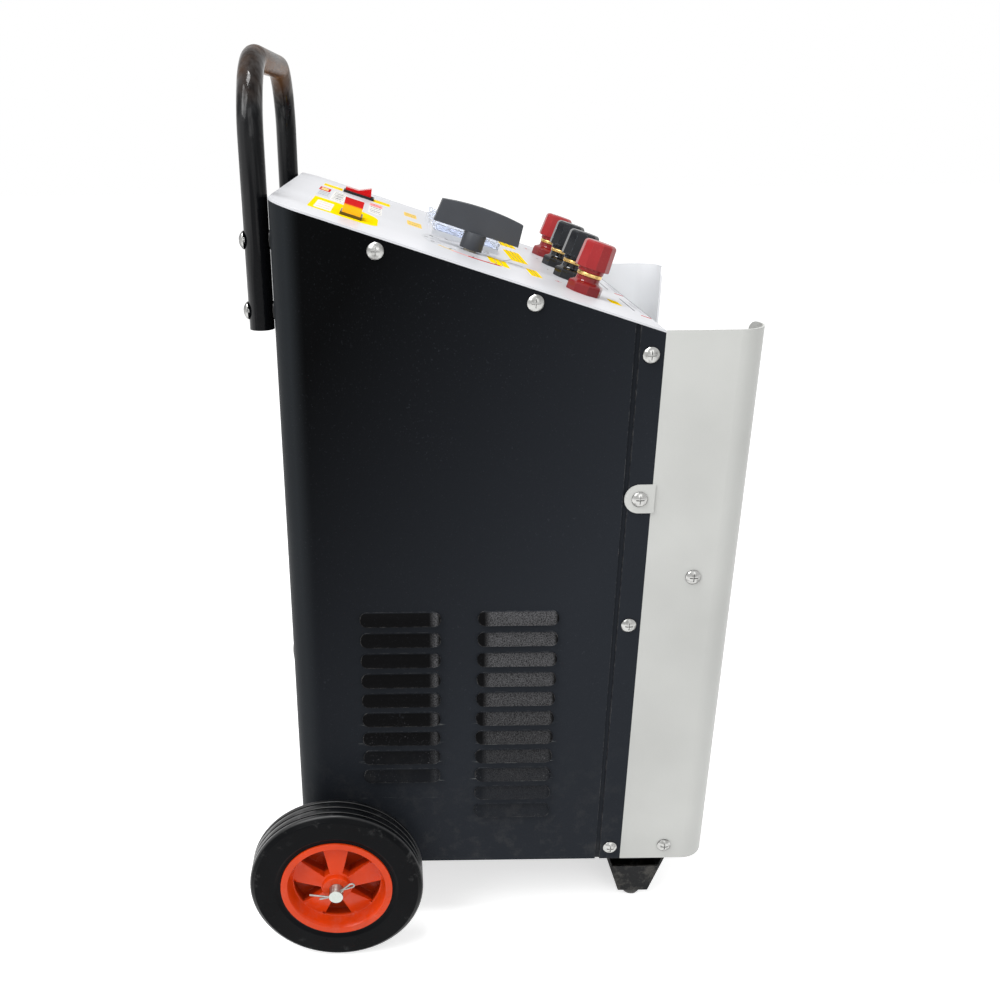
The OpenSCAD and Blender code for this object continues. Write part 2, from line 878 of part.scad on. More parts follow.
// moulded hub: outer lip, coned dish, boss, and windows between wedge-shaped spokes;
// z = 0 is its inner face, +Z points out of the charger
module wheel_hub() color(ORANGE) {
  boss_r = boss_d / 2;
  bore_r = axle_d / 2 + axle_clear;
  difference() {
    rotate_extrude()
      polygon([[bore_r - 1, 0], [rim_d / 2, 0], [rim_d / 2, tyre_w], [rim_d / 2 - hub_lip, tyre_w],
               [dish_r, tyre_w - dish_deep], [boss_r + 0.6, tyre_w - dish_deep + dish_rise],
               [boss_r, tyre_w], [bore_r - 1, tyre_w]]);
    translate([0, 0, tyre_w - window_deep]) linear_extrude(tyre_w) hub_windows();
    translate([0, 0, -1]) cylinder(h = tyre_w + 2, r = bore_r);
  }
}

// one side of the tyre's outline, from its bore to its tread: radius, and depth below the side
function tyre_side() = [
  [rim_d / 2 + 0.05, bead_deep], [rim_d / 2 + side_ring_in, bead_deep], [rim_d / 2 + side_ring_out, 0],
  [tyre_d / 2 - tread_step - tread_edge, 0], [tyre_d / 2 - tread_step, tread_edge],
  [tyre_d / 2, shoulder]];

module tyre() color([0.08, 0.08, 0.08]) {
  side = tyre_side();
  last = len(side) - 1;
  far = [for (i = [last:-1:0]) [side[i][0], tyre_w - side[i][1]]];
  difference() {
    rotate_extrude() polygon(concat(side, far));
    for (i = [-1:1])
      translate([0, 0, tyre_w / 2 + i * groove_pitch])
        rotate_extrude()
          translate([tyre_d / 2 - groove_deep, -groove_wide / 2]) square([groove_deep + 1, groove_wide]);
  }
}

// the left wheel's outer side faces -X
module wheel_place() {
  translate([-hub_in, axle_y, axle_z]) rotate([0, -90, 0]) children();
}

module wheel_hub_left() wheel_place() wheel_hub();
module tyre_left() wheel_place() tyre();
module wheel_hub_right() mirror([1, 0, 0]) wheel_place() wheel_hub();
module tyre_right() mirror([1, 0, 0]) wheel_place() tyre();

// ---- front foot ------------------------------------------------------------

function foot_outline(inset, top = 0) = [
  [y_rear - foot_b + foot_top / 2 - inset, cab_z + top],
  [y_rear - foot_b + foot_bot / 2 - inset * 0.8, cab_z - foot_h + inset],
  [y_rear - foot_b - foot_bot / 2 + inset * 0.8, cab_z - foot_h + inset],
  [y_rear - foot_b - foot_top / 2 + inset, cab_z + top]];

// a folded channel across the front; its end plates leave the top of it open
module front_foot() color(BLACK) {
  half = foot_len / 2;
  difference() {
    union() {
      difference() {
        prism_x(foot_outline(0), -half, half);
        prism_x(foot_outline(foot_t, 1), -half + foot_t, half - foot_t);
        both_sides()
          intersection() {
            prism_x(foot_outline(foot_t, 1), -half - 1, -half + foot_t + 1);
            translate([-half - 2, y_rear - foot_b - foot_top, cab_z - end_open])
              cube([foot_t + 4, 2 * foot_top, end_open + 2]);
          }
      }
      // inward flanges along the top that the bolts go through
      for (s = [0, 1])
        translate([-half, y_rear - foot_b - foot_top / 2 + s * (foot_top - foot_flange), cab_z - foot_t])
          cube([foot_len, foot_flange, foot_t]);
    }
    foot_bolt_holes(1);
    both_sides() on_pad() translate([0, 0, pad_h - 1]) cylinder(h = foot_t + 2, r = screw_hole_r);
  }
}

module on_pad() {
  translate([-foot_len / 2 + pad_d / 2 + 1, y_rear - foot_b, 0]) children();
}

module foot_bolt_places() {
  for (x = [-1, 1], s = [-1, 1])
    translate([x * foot_bolt_x, y_rear - foot_b + s * foot_bolt_y, cab_z]) children();
}

// vertical holes through the foot's flanges and what lies above them
module foot_bolt_holes(above) {
  foot_bolt_places()
    translate([0, 0, -foot_t - 1]) cylinder(h = foot_t + above + 2, r = screw_hole_r);
}

module foot_pads() color([0.12, 0.12, 0.13]) {
  both_sides()
    on_pad() {
      cylinder(h = pad_h / 2, d1 = pad_d - 4, d2 = pad_d);
      translate([0, 0, pad_h / 2 - eps]) cylinder(h = pad_h / 2 + eps, d = pad_d);
      cylinder(h = pad_h + foot_t, d = screw_d);
      translate([0, 0, pad_h + foot_t]) cylinder(h = 2.5, d = screw_d + 4);
    }
}

module foot_bolts() color(ZINC) {
  for (s = [-1, 1]) {
    above = s < 0 ? sheet : pan_t;
    for (x = [-1, 1])
      translate([x * foot_bolt_x, y_rear - foot_b + s * foot_bolt_y, cab_z + above])
        truss_screw(len = foot_t + above + 3, hd = bolt_head_d, hh = 2.6);
  }
}

// ---- side screws -----------------------------------------------------------

module cabinet_screws() color(ZINC) {
  both_sides() {
    for (b = lip_screws) on_side(b, lip_screw_c(b)) truss_screw();
    for (c = strip_screws) on_side(strip_b, c) truss_screw();
  }
}

module tray_screws() color(ZINC) {
  both_sides() {
    on_side(strip_b, tab_h, sheet) truss_screw(len = screw_len + sheet);
    on_side(tray_b, brace_h) truss_screw();
    on_side(tray_b, floor_screw_h) truss_screw();
  }
}

// ---- controls --------------------------------------------------------------

module selector_knob() color(BLACK) {
  half = bar_len / 2;
  end_slant = 2;
  crown_r = (half * half + bar_crown * bar_crown) / (2 * bar_crown);
  on_panel(knob_a, knob_s, knob_gap)
    difference() {
      union() {
        cylinder(h = stem_h, d = stem_d);
        translate([-bar_w / 2, 0, stem_h - eps])
          rotate([90, 0, 90])
            linear_extrude(bar_w)
              intersection() {
                translate([-half, 0]) square([bar_len, bar_h + bar_crown]);
                translate([0, bar_h + bar_crown - crown_r]) circle(crown_r, $fn = 96);
                polygon([[-half, 0], [half, 0], [half - end_slant, bar_h + bar_crown],
                         [-half + end_slant, bar_h + bar_crown]]);
              }
      }
      translate([0, 0, -1]) cylinder(h = 1 + stem_h + shaft_in + 1, d = shaft_d + 0.1);
      translate([0, 0, knob_top - plug_deep]) cylinder(h = 3, d = plug_d);
    }
}

// small pointer plug in the top of the knob
module knob_insert() color("white") {
  on_panel(knob_a, knob_s, knob_gap + knob_top - plug_deep) cylinder(h = plug_deep - 0.4, d = plug_d - 0.1);
}

module selector_shaft() color(ZINC) {
  deep = switch_deep - 6;
  on_panel(knob_a, knob_s, -deep) cylinder(h = deep + knob_gap + stem_h + shaft_in, d = shaft_d);
}

module selector_switch() color([0.75, 0.7, 0.6]) {
  on_panel(knob_a, knob_s)
    difference() {
      union() {
        translate([0, 0, -sheet - switch_deep]) cylinder(h = switch_deep, d = 46);
        translate([0, 0, -sheet - eps]) cylinder(h = sheet + knob_gap - 0.4, d = shaft_d + 4.6);
        for (i = [0:7])
          rotate(i * 45 + 22.5) translate([20, -2.5, -sheet - 22]) cube([9, 5, 1.2]);
      }
      translate([0, 0, 4 - switch_deep]) cylinder(h = switch_deep + 10, d = shaft_d + 2 * shaft_clear);
    }
}

// bezel and housing of a rocker switch; its length lies along local X
module rocker_bezel() color(BLACK) {
  l = rocker_len;
  w = rocker_wid;
  body_l = l - body_step;
  body_w = w - body_step;
  body_h = 20;
  well_l = body_l - well_step;
  well_w = body_w - well_step;
  difference() {
    union() {
      translate([-l / 2, -w / 2, 0]) cube([l, w, bezel_t]);
      translate([-body_l / 2, -body_w / 2, -body_h]) cube([body_l, body_w, body_h + eps]);
      for (x = [-8, 0, 8])
        translate([x - 0.4, -3, -body_h - 8]) cube([0.8, 6, 8 + eps]);
    }
    translate([-well_l / 2, -well_w / 2, -9]) cube([well_l, well_w, 20]);
    translate([0, 0, rocker_pin_z])
      rotate([90, 0, 0]) cylinder(h = well_w + well_step - pin_step, r = rocker_pin_r + 0.05, center = true);
  }
}

// the rocker at rest: its +X end is pressed and its -X end stands up
module rocker(h) color(RED) {
  l = rocker_len - body_step - well_step - 3;
  w = rocker_wid - body_step - well_step - 2 * well_gap;
  dip = h * 0.29;
  translate([0, 0, rocker_pin_z])
    rotate([0, rocker_tilt, 0]) {
      translate([0, w / 2, 0])
        rotate([90, 0, 0])
          linear_extrude(w)
            polygon([[-l / 2, 0], [l / 2, 0], [l / 2, h], [0, h - dip], [-l / 2, h]]);
      rotate([90, 0, 0])
        cylinder(h = w + 2 * well_gap + well_step - 2 * pin_step, r = rocker_pin_r, center = true);
    }
}

module rocker_bezel_left() on_panel(rocker_a, rocker_s) rocker_bezel();
module rocker_left() on_panel(rocker_a, rocker_s) rocker(rocker_tall);
module rocker_bezel_right() on_panel(cab_w - rocker_a, rocker_s) rotate(90) rocker_bezel();
module rocker_right() on_panel(cab_w - rocker_a, rocker_s) rotate(90) rocker(rocker_low);

module on_meter(i, h = 0) {
  on_panel(meter_a + i * meter_pitch, meter_s, h) children();
}

module on_meters(h = 0) {
  for (i = [0, 1]) on_meter(i, h) children();
}

// square plate of a meter, inset from its outline
module meter_block(inset, h) {
  w = meter_w - 2 * inset;
  l = meter_l - 2 * inset;
  translate([-w / 2, -l / 2, 0]) cube([w, l, h]);
}

module meter_cases() color([0.85, 0.86, 0.88]) {
  on_meters() {
    difference() {
      union() {
        meter_block(0, case_h);
        translate([0, 0, -barrel_deep]) cylinder(h = barrel_deep + eps, d = barrel_d);
      }
      translate([0, 0, case_h / 2]) meter_block(4, case_h);
      translate([0, 0, 2 - barrel_deep]) cylinder(h = barrel_deep + 1, d = barrel_d - 4);
    }
    for (s = [-1, 1]) translate([s * 14, 0, -barrel_deep - 10]) cylinder(h = 10 + eps, d = 4);
  }
}

module meter_covers() color([0.8, 0.88, 0.95, 0.4]) {
  skin = 1;
  on_meters(case_h)
    difference() {
      meter_block(0, meter_h - case_h);
      translate([0, 0, -1]) meter_block(2, meter_h - case_h - skin + 1);
    }
}

// dial plates, each on the movement that fills the barrel behind it
module meter_dials() color("white") {
  floor_z = 2 - barrel_deep + 0.1;
  post_z = -2;
  on_meters() {
    difference() {
      translate([0, 0, dial_h - 1]) meter_block(4.2, 1);
      translate([0, -pivot_drop, dial_h - 2]) cylinder(h = 4, r = 3.2);
    }
    translate([0, 0, floor_z]) cylinder(h = post_z - floor_z, d = barrel_d - 14);
    translate([0, -pivot_drop, post_z - 1])
      cylinder(h = needle_h + needle_t + 0.6 - post_z + 1, r = needle_r);
    for (s = [-1, 1])
      translate([s * 14, 5, post_z - eps]) cylinder(h = dial_h - 1 - post_z + 2 * eps, r = 2);
  }
}

// a needle rests at the left end of its scale
module needle(i) color(BLACK) {
  reach = 32;
  tail = 6;
  on_meter(i)
    translate([0, -pivot_drop, needle_h])
      rotate(45)
        difference() {
          union() {
            cylinder(h = needle_t, r = 2.4);
            translate([-0.5, -tail, 0.2]) cube([1, reach + tail, needle_t - 0.4]);
          }
          translate([0, 0, -1]) cylinder(h = needle_t + 2, r = needle_r + 0.05);
        }
}

module ammeter_needle() needle(0);
module voltmeter_needle() needle(1);

// ---- terminals -------------------------------------------------------------

module on_post(i, h = 0) {
  on_panel(cab_w / 2 + heads[i], post_s, h) children();
}

// insulating base with eight flats, under a narrower neck
module terminal_base() {
  difference() {
    union() {
      cylinder(h = base_h, d = base_d, $fn = 8);
      translate([0, 0, base_h - eps]) cylinder(h = neck_h + eps, d = neck_d);
      translate([0, 0, -sheet - bush_h]) cylinder(h = bush_h + sheet + eps, d = stud_d + 3.6);
    }
    translate([0, 0, -10]) cylinder(h = 40, d = stud_d + 0.1);
  }
}

module terminal_bases_red() color(RED) for (i = [0, 3]) on_post(i) terminal_base();
module terminal_bases_black() color(BLACK) for (i = [1, 2]) on_post(i) terminal_base();

module terminal_studs() color(BRASS) {
  for (i = [0:3])
    on_post(i) {
      translate([0, 0, -stud_low]) cylinder(h = stud_low + stud_top, d = stud_d);
      translate([0, 0, -sheet - bush_h - nut_h - fit]) cylinder(h = nut_h, d = 13 / cos(30), $fn = 6);
    }
}

module terminal_washer(i) color(BRASS) {
  on_post(i, washer_h)
    difference() {
      cylinder(h = brass_t, d = neck_d);
      translate([0, 0, -1]) cylinder(h = brass_t + 2, d = stud_d + 0.6);
    }
}

// moulded cap with ten flats above a round collar
module terminal_cap(i) color(i == 0 || i == 3 ? RED : BLACK) {
  on_post(i, cap_z)
    difference() {
      union() {
        cylinder(h = collar_h, d = cap_d * 0.75);
        translate([0, 0, collar_h - eps])
          cylinder(h = cap_h - cap_edge, d1 = cap_d, d2 = cap_top_d, $fn = 10);
        translate([0, 0, collar_h + cap_h - cap_edge - 2 * eps])
          cylinder(h = cap_edge, d1 = cap_top_d, d2 = cap_top_d - 2 * cap_edge, $fn = 10);
      }
      translate([0, 0, -1]) cylinder(h = 1 + stud_top - cap_z + 1, d = stud_d + 2 * cap_clear);
    }
}

module terminal_washer_1() terminal_washer(0);
module terminal_washer_2() terminal_washer(1);
module terminal_washer_3() terminal_washer(2);
module terminal_washer_4() terminal_washer(3);
module terminal_cap_1() terminal_cap(0);
module terminal_cap_2() terminal_cap(1);
module terminal_cap_3() terminal_cap(2);
module terminal_cap_4() terminal_cap(3);

// ---- inside ----------------------------------------------------------------

module transformer_core() color([0.35, 0.33, 0.32]) {
  translate([-core_w / 2, y_rear - core_b - core_t / 2, core_z])
    difference() {
      cube([core_w, core_t, core_h]);
      for (s = [0, 1])
        translate([core_leg + s * (core_win + 2 * core_leg), -1, core_leg])
          cube([core_win, core_t + 2, core_h - 2 * core_leg]);
    }
}

// primary and secondary windings on the middle leg, one above the other
module transformer_windings() color([0.72, 0.42, 0.2]) {
  barrier = 2;
  inner = [core_leg + fit, core_t / 2 + fit];
  outer = inner + [1, 1] * (core_win - 2 * fit - 1);
  coil_h = (core_h - 2 * core_leg - 3 * fit - barrier) / 2;
  for (k = [0, 1])
    translate([0, y_rear - core_b, core_z + core_leg + fit + k * (coil_h + fit + barrier)])
      linear_extrude(coil_h)
        difference() {
          translate(-outer) square(2 * outer);
          translate(-inner) square(2 * inner);
        }
}

// two angle frames that clasp the core, and the packing block it stands on
module transformer_frame() color(STEEL) {
  deep = core_t + 2 * frame_out;
  rail_x = core_w / 2 - rail_w / 2;
  for (s = [-1, 1])
    translate([s * rail_x, y_rear - core_b, cab_z + pan_t])
      difference() {
        union() {
          translate([-rail_w / 2, -deep / 2, 0]) cube([rail_w, deep, rail_t]);
          for (t = [-1, 1])
            translate([-rail_w / 2, t * (core_t / 2 + rail_t / 2 + fit) - rail_t / 2, 0])
              cube([rail_w, rail_t, core_lift + core_leg]);
        }
        for (t = [-1, 1])
          translate([0, t * (deep / 2 - 8), -1]) cylinder(h = rail_t + 2, r = screw_hole_r);
      }
  translate([-core_w / 2, y_rear - core_b - core_t / 2, cab_z + pan_t + rail_t + eps])
    cube([core_w, core_t, core_lift - rail_t - 2 * eps]);
}

// the frame's bolts, on the base pan's upper face
module frame_bolt_places() {
  for (s = [-1, 1], t = [-1, 1])
    translate([s * (core_w / 2 - rail_w / 2), y_rear - core_b + t * (core_t / 2 + frame_out - 8),
               cab_z + pan_t])
      children();
}

module transformer_bolts() color(ZINC) {
  frame_bolt_places()
    translate([0, 0, rail_t]) truss_screw(len = rail_t + pan_t + 5, hd = 10, hh = 2.6);
}

// diode places on the plate's front face, with +Z pointing to the front
module diode_places() {
  for (i = [0:3])
    translate([diode_x(i), y_rear - plate_b, diode_z]) rotate([90, 0, 0]) children();
}

function diode_x(i) = (i - 1.5) * plate_w / 4;

module rectifier_plate() color([0.75, 0.76, 0.78]) {
  difference() {
    translate([-plate_w / 2, y_rear - plate_b, cab_z + pan_t]) {
      cube([plate_w, plate_t, plate_h]);
      cube([plate_w, plate_foot, plate_t]);
    }
    diode_places() translate([0, 0, -plate_t - 1]) cylinder(h = plate_t + 2, d = diode_stud + 0.2);
  }
}

module rectifier_diodes() color(ZINC) {
  diode_places() {
    translate([0, 0, -plate_t - 6]) cylinder(h = plate_t + 7, d = diode_stud);
    translate([0, 0, eps]) cylinder(h = diode_hex_h, d = diode_hex, $fn = 6);
    translate([0, 0, diode_hex_h]) cylinder(h = diode_can_h, d = diode_can);
    translate([0, 0, diode_hex_h + diode_can_h - eps])
      cylinder(h = diode_out - diode_hex_h - diode_can_h, d = diode_stud / 2);
  }
}

module mains_gland() color([0.15, 0.15, 0.16]) {
  translate([gland_x, y_rear, cab_z + gland_h])
    rotate([-90, 0, 0])
      difference() {
        union() {
          translate([0, 0, -sheet - 8]) cylinder(h = sheet + 8 + 1, r = gland_r - 0.2);
          translate([0, 0, eps]) cylinder(h = 6, d = 26, $fn = 6);
          translate([0, 0, 6]) cylinder(h = 8, d1 = 23, d2 = 17);
          translate([0, 0, -sheet - 6]) cylinder(h = 5.9, d = 27, $fn = 6);
        }
        translate([0, 0, -20]) cylinder(h = 50, r = cable_r);
      }
}

function unit(v) = v / norm(v);

// corners of a ring round the point p, square to the direction t
function ring(p, t, r, sides) =
  let (u = unit(cross(t, [1, 0, 0])), v = cross(t, u))
    [for (k = [0:sides - 1]) p + r * (cos(360 * k / sides) * u + sin(360 * k / sides) * v)];

// a lead as an eight-sided tube through its points
module lead(points, r) {
  n = len(points);
  sides = 8;
  runs = [for (i = [0:n - 2]) unit(points[i + 1] - points[i])];
  heading = [for (i = [0:n - 1]) unit(runs[max(i - 1, 0)] + runs[min(i, n - 2)])];
  first = [for (k = [0:sides - 1]) k];
  last = [for (k = [sides - 1:-1:0]) (n - 1) * sides + k];
  walls = [for (i = [0:n - 2], k = [0:sides - 1])
    let (a = i * sides + k, b = i * sides + (k + 1) % sides)
      each [[a, a + sides, b + sides], [a, b + sides, b]]];
  polyhedron(points = [for (i = [0:n - 1]) each ring(points[i], heading[i], r, sides)],
             faces = concat([first], walls, [last]));
}

// a place below the panel, at a lead's end there
function below_panel(x, s, deep) =
  let (d = deep + fit + lead_r * sin(slope))
    [x, y_rear - s * cos(slope) + d * sin(slope), cab_z + rear_h - s * sin(slope) - d * cos(slope)];

function stud_end(i) = below_panel(heads[i], post_s, stud_low);

function switch_end() = below_panel(knob_a - cab_w / 2, knob_s, sheet + switch_deep);

module wiring() color([0.6, 0.1, 0.1]) {
  diode_y = y_rear - plate_b - diode_out - fit - lead_r;
  gland_z = cab_z + gland_h;
  rear = y_rear - 40;
  knob_x = switch_end()[0];
  // mains lead: gland to selector switch
  lead([[gland_x, y_rear - sheet - 8 - fit, gland_z], [gland_x, rear, gland_z],
        [gland_x, rear, lead_bend], [knob_x, rear - 20, lead_bend + 40],
        [knob_x, switch_end()[1], lead_bend + 60], switch_end()], lead_r);
  // charging leads: diodes to the terminals
  for (i = [0:3])
    lead([[diode_x(i), diode_y, diode_z], [diode_x(i), diode_y, diode_z + 60],
          [heads[i], stud_end(i)[1], lead_bend], stud_end(i)], lead_r);
}

rear_shell();
front_frame();
base_pan();
corner_posts();
control_panel();
tray_wing_left();
tray_wing_right();
tray_floor();
tray_brace();
handle();
handle_spacers();
handle_screws();
handle_nuts();
axle();
axle_brackets();
axle_spacers();
axle_washers();
split_pins();
wheel_hub_left();
tyre_left();
wheel_hub_right();
tyre_right();
front_foot();
foot_pads();
foot_bolts();
cabinet_screws();
tray_screws();
selector_knob();
knob_insert();
selector_shaft();
selector_switch();
rocker_bezel_left();
rocker_left();
rocker_bezel_right();
rocker_right();
meter_cases();
meter_covers();
meter_dials();
ammeter_needle();
voltmeter_needle();
terminal_bases_red();
terminal_bases_black();
terminal_studs();
terminal_washer_1();
terminal_washer_2();
terminal_washer_3();
terminal_washer_4();
terminal_cap_1();
terminal_cap_2();
terminal_cap_3();
terminal_cap_4();
transformer_core();
transformer_windings();
transformer_frame();
transformer_bolts();
rectifier_plate();
rectifier_diodes();
mains_gland();
wiring();
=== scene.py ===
"""Looks of a wheeled battery charger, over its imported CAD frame."""

import logging
import math
import random
from collections.abc import Callable
from dataclasses import dataclass
from enum import Enum

import bmesh
import bpy
from mathutils import Matrix, Vector


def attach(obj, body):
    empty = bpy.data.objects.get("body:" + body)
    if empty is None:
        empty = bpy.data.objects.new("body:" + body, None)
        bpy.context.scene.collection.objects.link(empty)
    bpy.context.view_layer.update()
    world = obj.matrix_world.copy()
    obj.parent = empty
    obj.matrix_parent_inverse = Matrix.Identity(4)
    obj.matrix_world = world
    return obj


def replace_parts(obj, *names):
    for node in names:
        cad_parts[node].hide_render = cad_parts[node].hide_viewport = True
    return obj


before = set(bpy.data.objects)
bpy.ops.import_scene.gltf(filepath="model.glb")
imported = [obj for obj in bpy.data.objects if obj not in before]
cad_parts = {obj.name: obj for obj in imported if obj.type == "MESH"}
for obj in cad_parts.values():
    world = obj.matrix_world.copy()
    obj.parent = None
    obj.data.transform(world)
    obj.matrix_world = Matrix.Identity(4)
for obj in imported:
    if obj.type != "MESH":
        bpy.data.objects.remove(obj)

LOG = logging.getLogger("charger")
MM = 0.001
Point = tuple[float, float, float]
Pair = tuple[float, float]
Colour = tuple[float, float, float]
Node = bpy.types.Node
Socket = bpy.types.NodeSocket
Sockets = bpy.types.bpy_prop_collection


def srgb(red: float, green: float, blue: float) -> Colour:
    """Turns a display colour into the linear one that shaders take.

    Args:
        red: Display red, 0 to 255.
        green: Display green, 0 to 255.
        blue: Display blue, 0 to 255.

    Returns:
        The linear colour.
    """
    out = []
    for level in (red, green, blue):
        c = level / 255
        out.append(c / 12.92 if c <= 0.04045 else ((c + 0.055) / 1.055) ** 2.4)
    return tuple(out)


TONES = (0.3, 0.7)  # the range that a tone cloud's values fill
DUST_COLOUR = srgb(150, 146, 138)
POSTS = (70.0, 140.0, 210.0, 280.0)  # the terminals, in millimetres across the panel


# ---------------------------------------------------------------- shader work


class Bench:
    """A node tree with short calls that add nodes and join them."""

    def __init__(self, tree: bpy.types.NodeTree) -> None:
        """Keeps the tree that the nodes go into."""
        self.tree = tree

    def add(self, kind: str, **settings: object) -> Node:
        """Adds a node.

        Args:
            kind: The node's type name without the ShaderNode prefix.
            settings: Properties of the node, or values for the inputs of those names (spaces as _).

        Returns:
            The new node.
        """
        node = self.tree.nodes.new("ShaderNode" + kind)
        for name, value in settings.items():
            if hasattr(node, name) and name not in ("inputs", "outputs"):
                setattr(node, name, value)
            else:
                node.inputs[name.replace("_", " ")].default_value = value
        return node

    def join(self, source: Socket, target: Socket) -> None:
        """Links one socket to another."""
        self.tree.links.new(source, target)

    def feed(self, value: object, target: Socket) -> None:
        """Links a socket to an input, or sets the input to a number or a colour.

        Args:
            value: A socket, a number or a colour.
            target: The input.
        """
        if isinstance(value, Socket):
            self.join(value, target)
        else:
            target.default_value = (*value, 1.0) if isinstance(value, tuple) else value

    def sum(self, operation: str, first: object, second: object = 0.0, clamp: bool = False) -> Socket:
        """Adds a Math node.

        Args:
            operation: The Math node's operation.
            first: A socket or a number.
            second: A socket or a number.
            clamp: Whether the result is held between 0 and 1.

        Returns:
            The node's output.
        """
        node = self.add("Math", operation=operation, use_clamp=clamp)
        self.feed(first, node.inputs[0])
        self.feed(second, node.inputs[1])
        return node.outputs[0]

    def times(self, first: object, *others: object, clamp: bool = False) -> Socket:
        """Multiplies sockets or numbers.

        Args:
            first: A socket or a number.
            others: What it is multiplied by.
            clamp: Whether each product is held between 0 and 1.

        Returns:
            The product.
        """
        for other in others:
            first = self.sum("MULTIPLY", first, other, clamp)
        return first

    def span(
        self, value: Socket, low: float, high: float, to_low: float = 0.0, to_high: float = 1.0
    ) -> Socket:
        """Maps a range of values onto another, held at its ends.

        Args:
            value: The socket to map.
            low: Where the range starts.
            high: Where it ends.
            to_low: What low becomes.
            to_high: What high becomes.

        Returns:
            The mapped value.
        """
        ends = {"From_Min": low, "From_Max": high, "To_Min": to_low, "To_Max": to_high}
        node = self.add("MapRange", clamp=True, **ends)
        self.join(value, node.inputs["Value"])
        return node.outputs["Result"]

    def blend(self, factor: object, first: object, second: object) -> Socket:
        """Mixes two colours.

        Args:
            factor: A socket or a number, 0 for the first colour.
            first: A socket or a colour.
            second: A socket or a colour.

        Returns:
            The mixed colour.
        """
        node = self.add("Mix", data_type="RGBA")
        for slot, value in ((0, factor), (6, first), (7, second)):
            self.feed(value, node.inputs[slot])
        return node.outputs[2]

    def place(self) -> Socket:
        """Gives the object's own coordinates."""
        return self.add("TexCoord").outputs["Object"]

    def stretch(self, vector: Socket, scale: Point, turn: Point = (0.0, 0.0, 0.0)) -> Socket:
        """Stretches and turns coordinates.

        Args:
            vector: The coordinates.
            scale: Scale along each axis.
            turn: Turn about each axis, in radians.

        Returns:
            The changed coordinates.
        """
        node = self.add("Mapping", Scale=scale, Rotation=turn)
        self.join(vector, node.inputs["Vector"])
        return node.outputs["Vector"]

    def axes(self, vector: Socket) -> Sockets:
        """Splits a vector into its X, Y and Z.

        Args:
            vector: The vector.

        Returns:
            The three values.
        """
        node = self.add("SeparateXYZ")
        self.join(vector, node.inputs[0])
        return node.outputs

    def normal(self, kind: str = "Normal") -> Sockets:
        """Gives X, Y and Z of the surface's normal, smoothed or of that kind."""
        return self.axes(self.add("NewGeometry").outputs[kind])

    def noise(self, vector: Socket, scale: object, detail: float, roughness: float = 0.5) -> Socket:
        """Adds a noise.

        Args:
            vector: The coordinates that it is read at.
            scale: A socket or a number.
            detail: How many finer layers it has.
            roughness: How strong they are.

        Returns:
            Its value, around 0.5.
        """
        node = self.add("TexNoise", Detail=detail, Roughness=roughness)
        self.join(vector, node.inputs["Vector"])
        self.feed(scale, node.inputs["Scale"])
        return node.outputs[0]


class Effect(Enum):
    """The shared surface effects, by the names of their node groups."""

    SPECKLE = "powder_speckle"
    WEAR = "edge_wear"
    CLOUD = "tone_cloud"
    SCUFF = "fine_scuffs"
    DUST = "settled_dust"
    FADE = "painted_shade_fade"


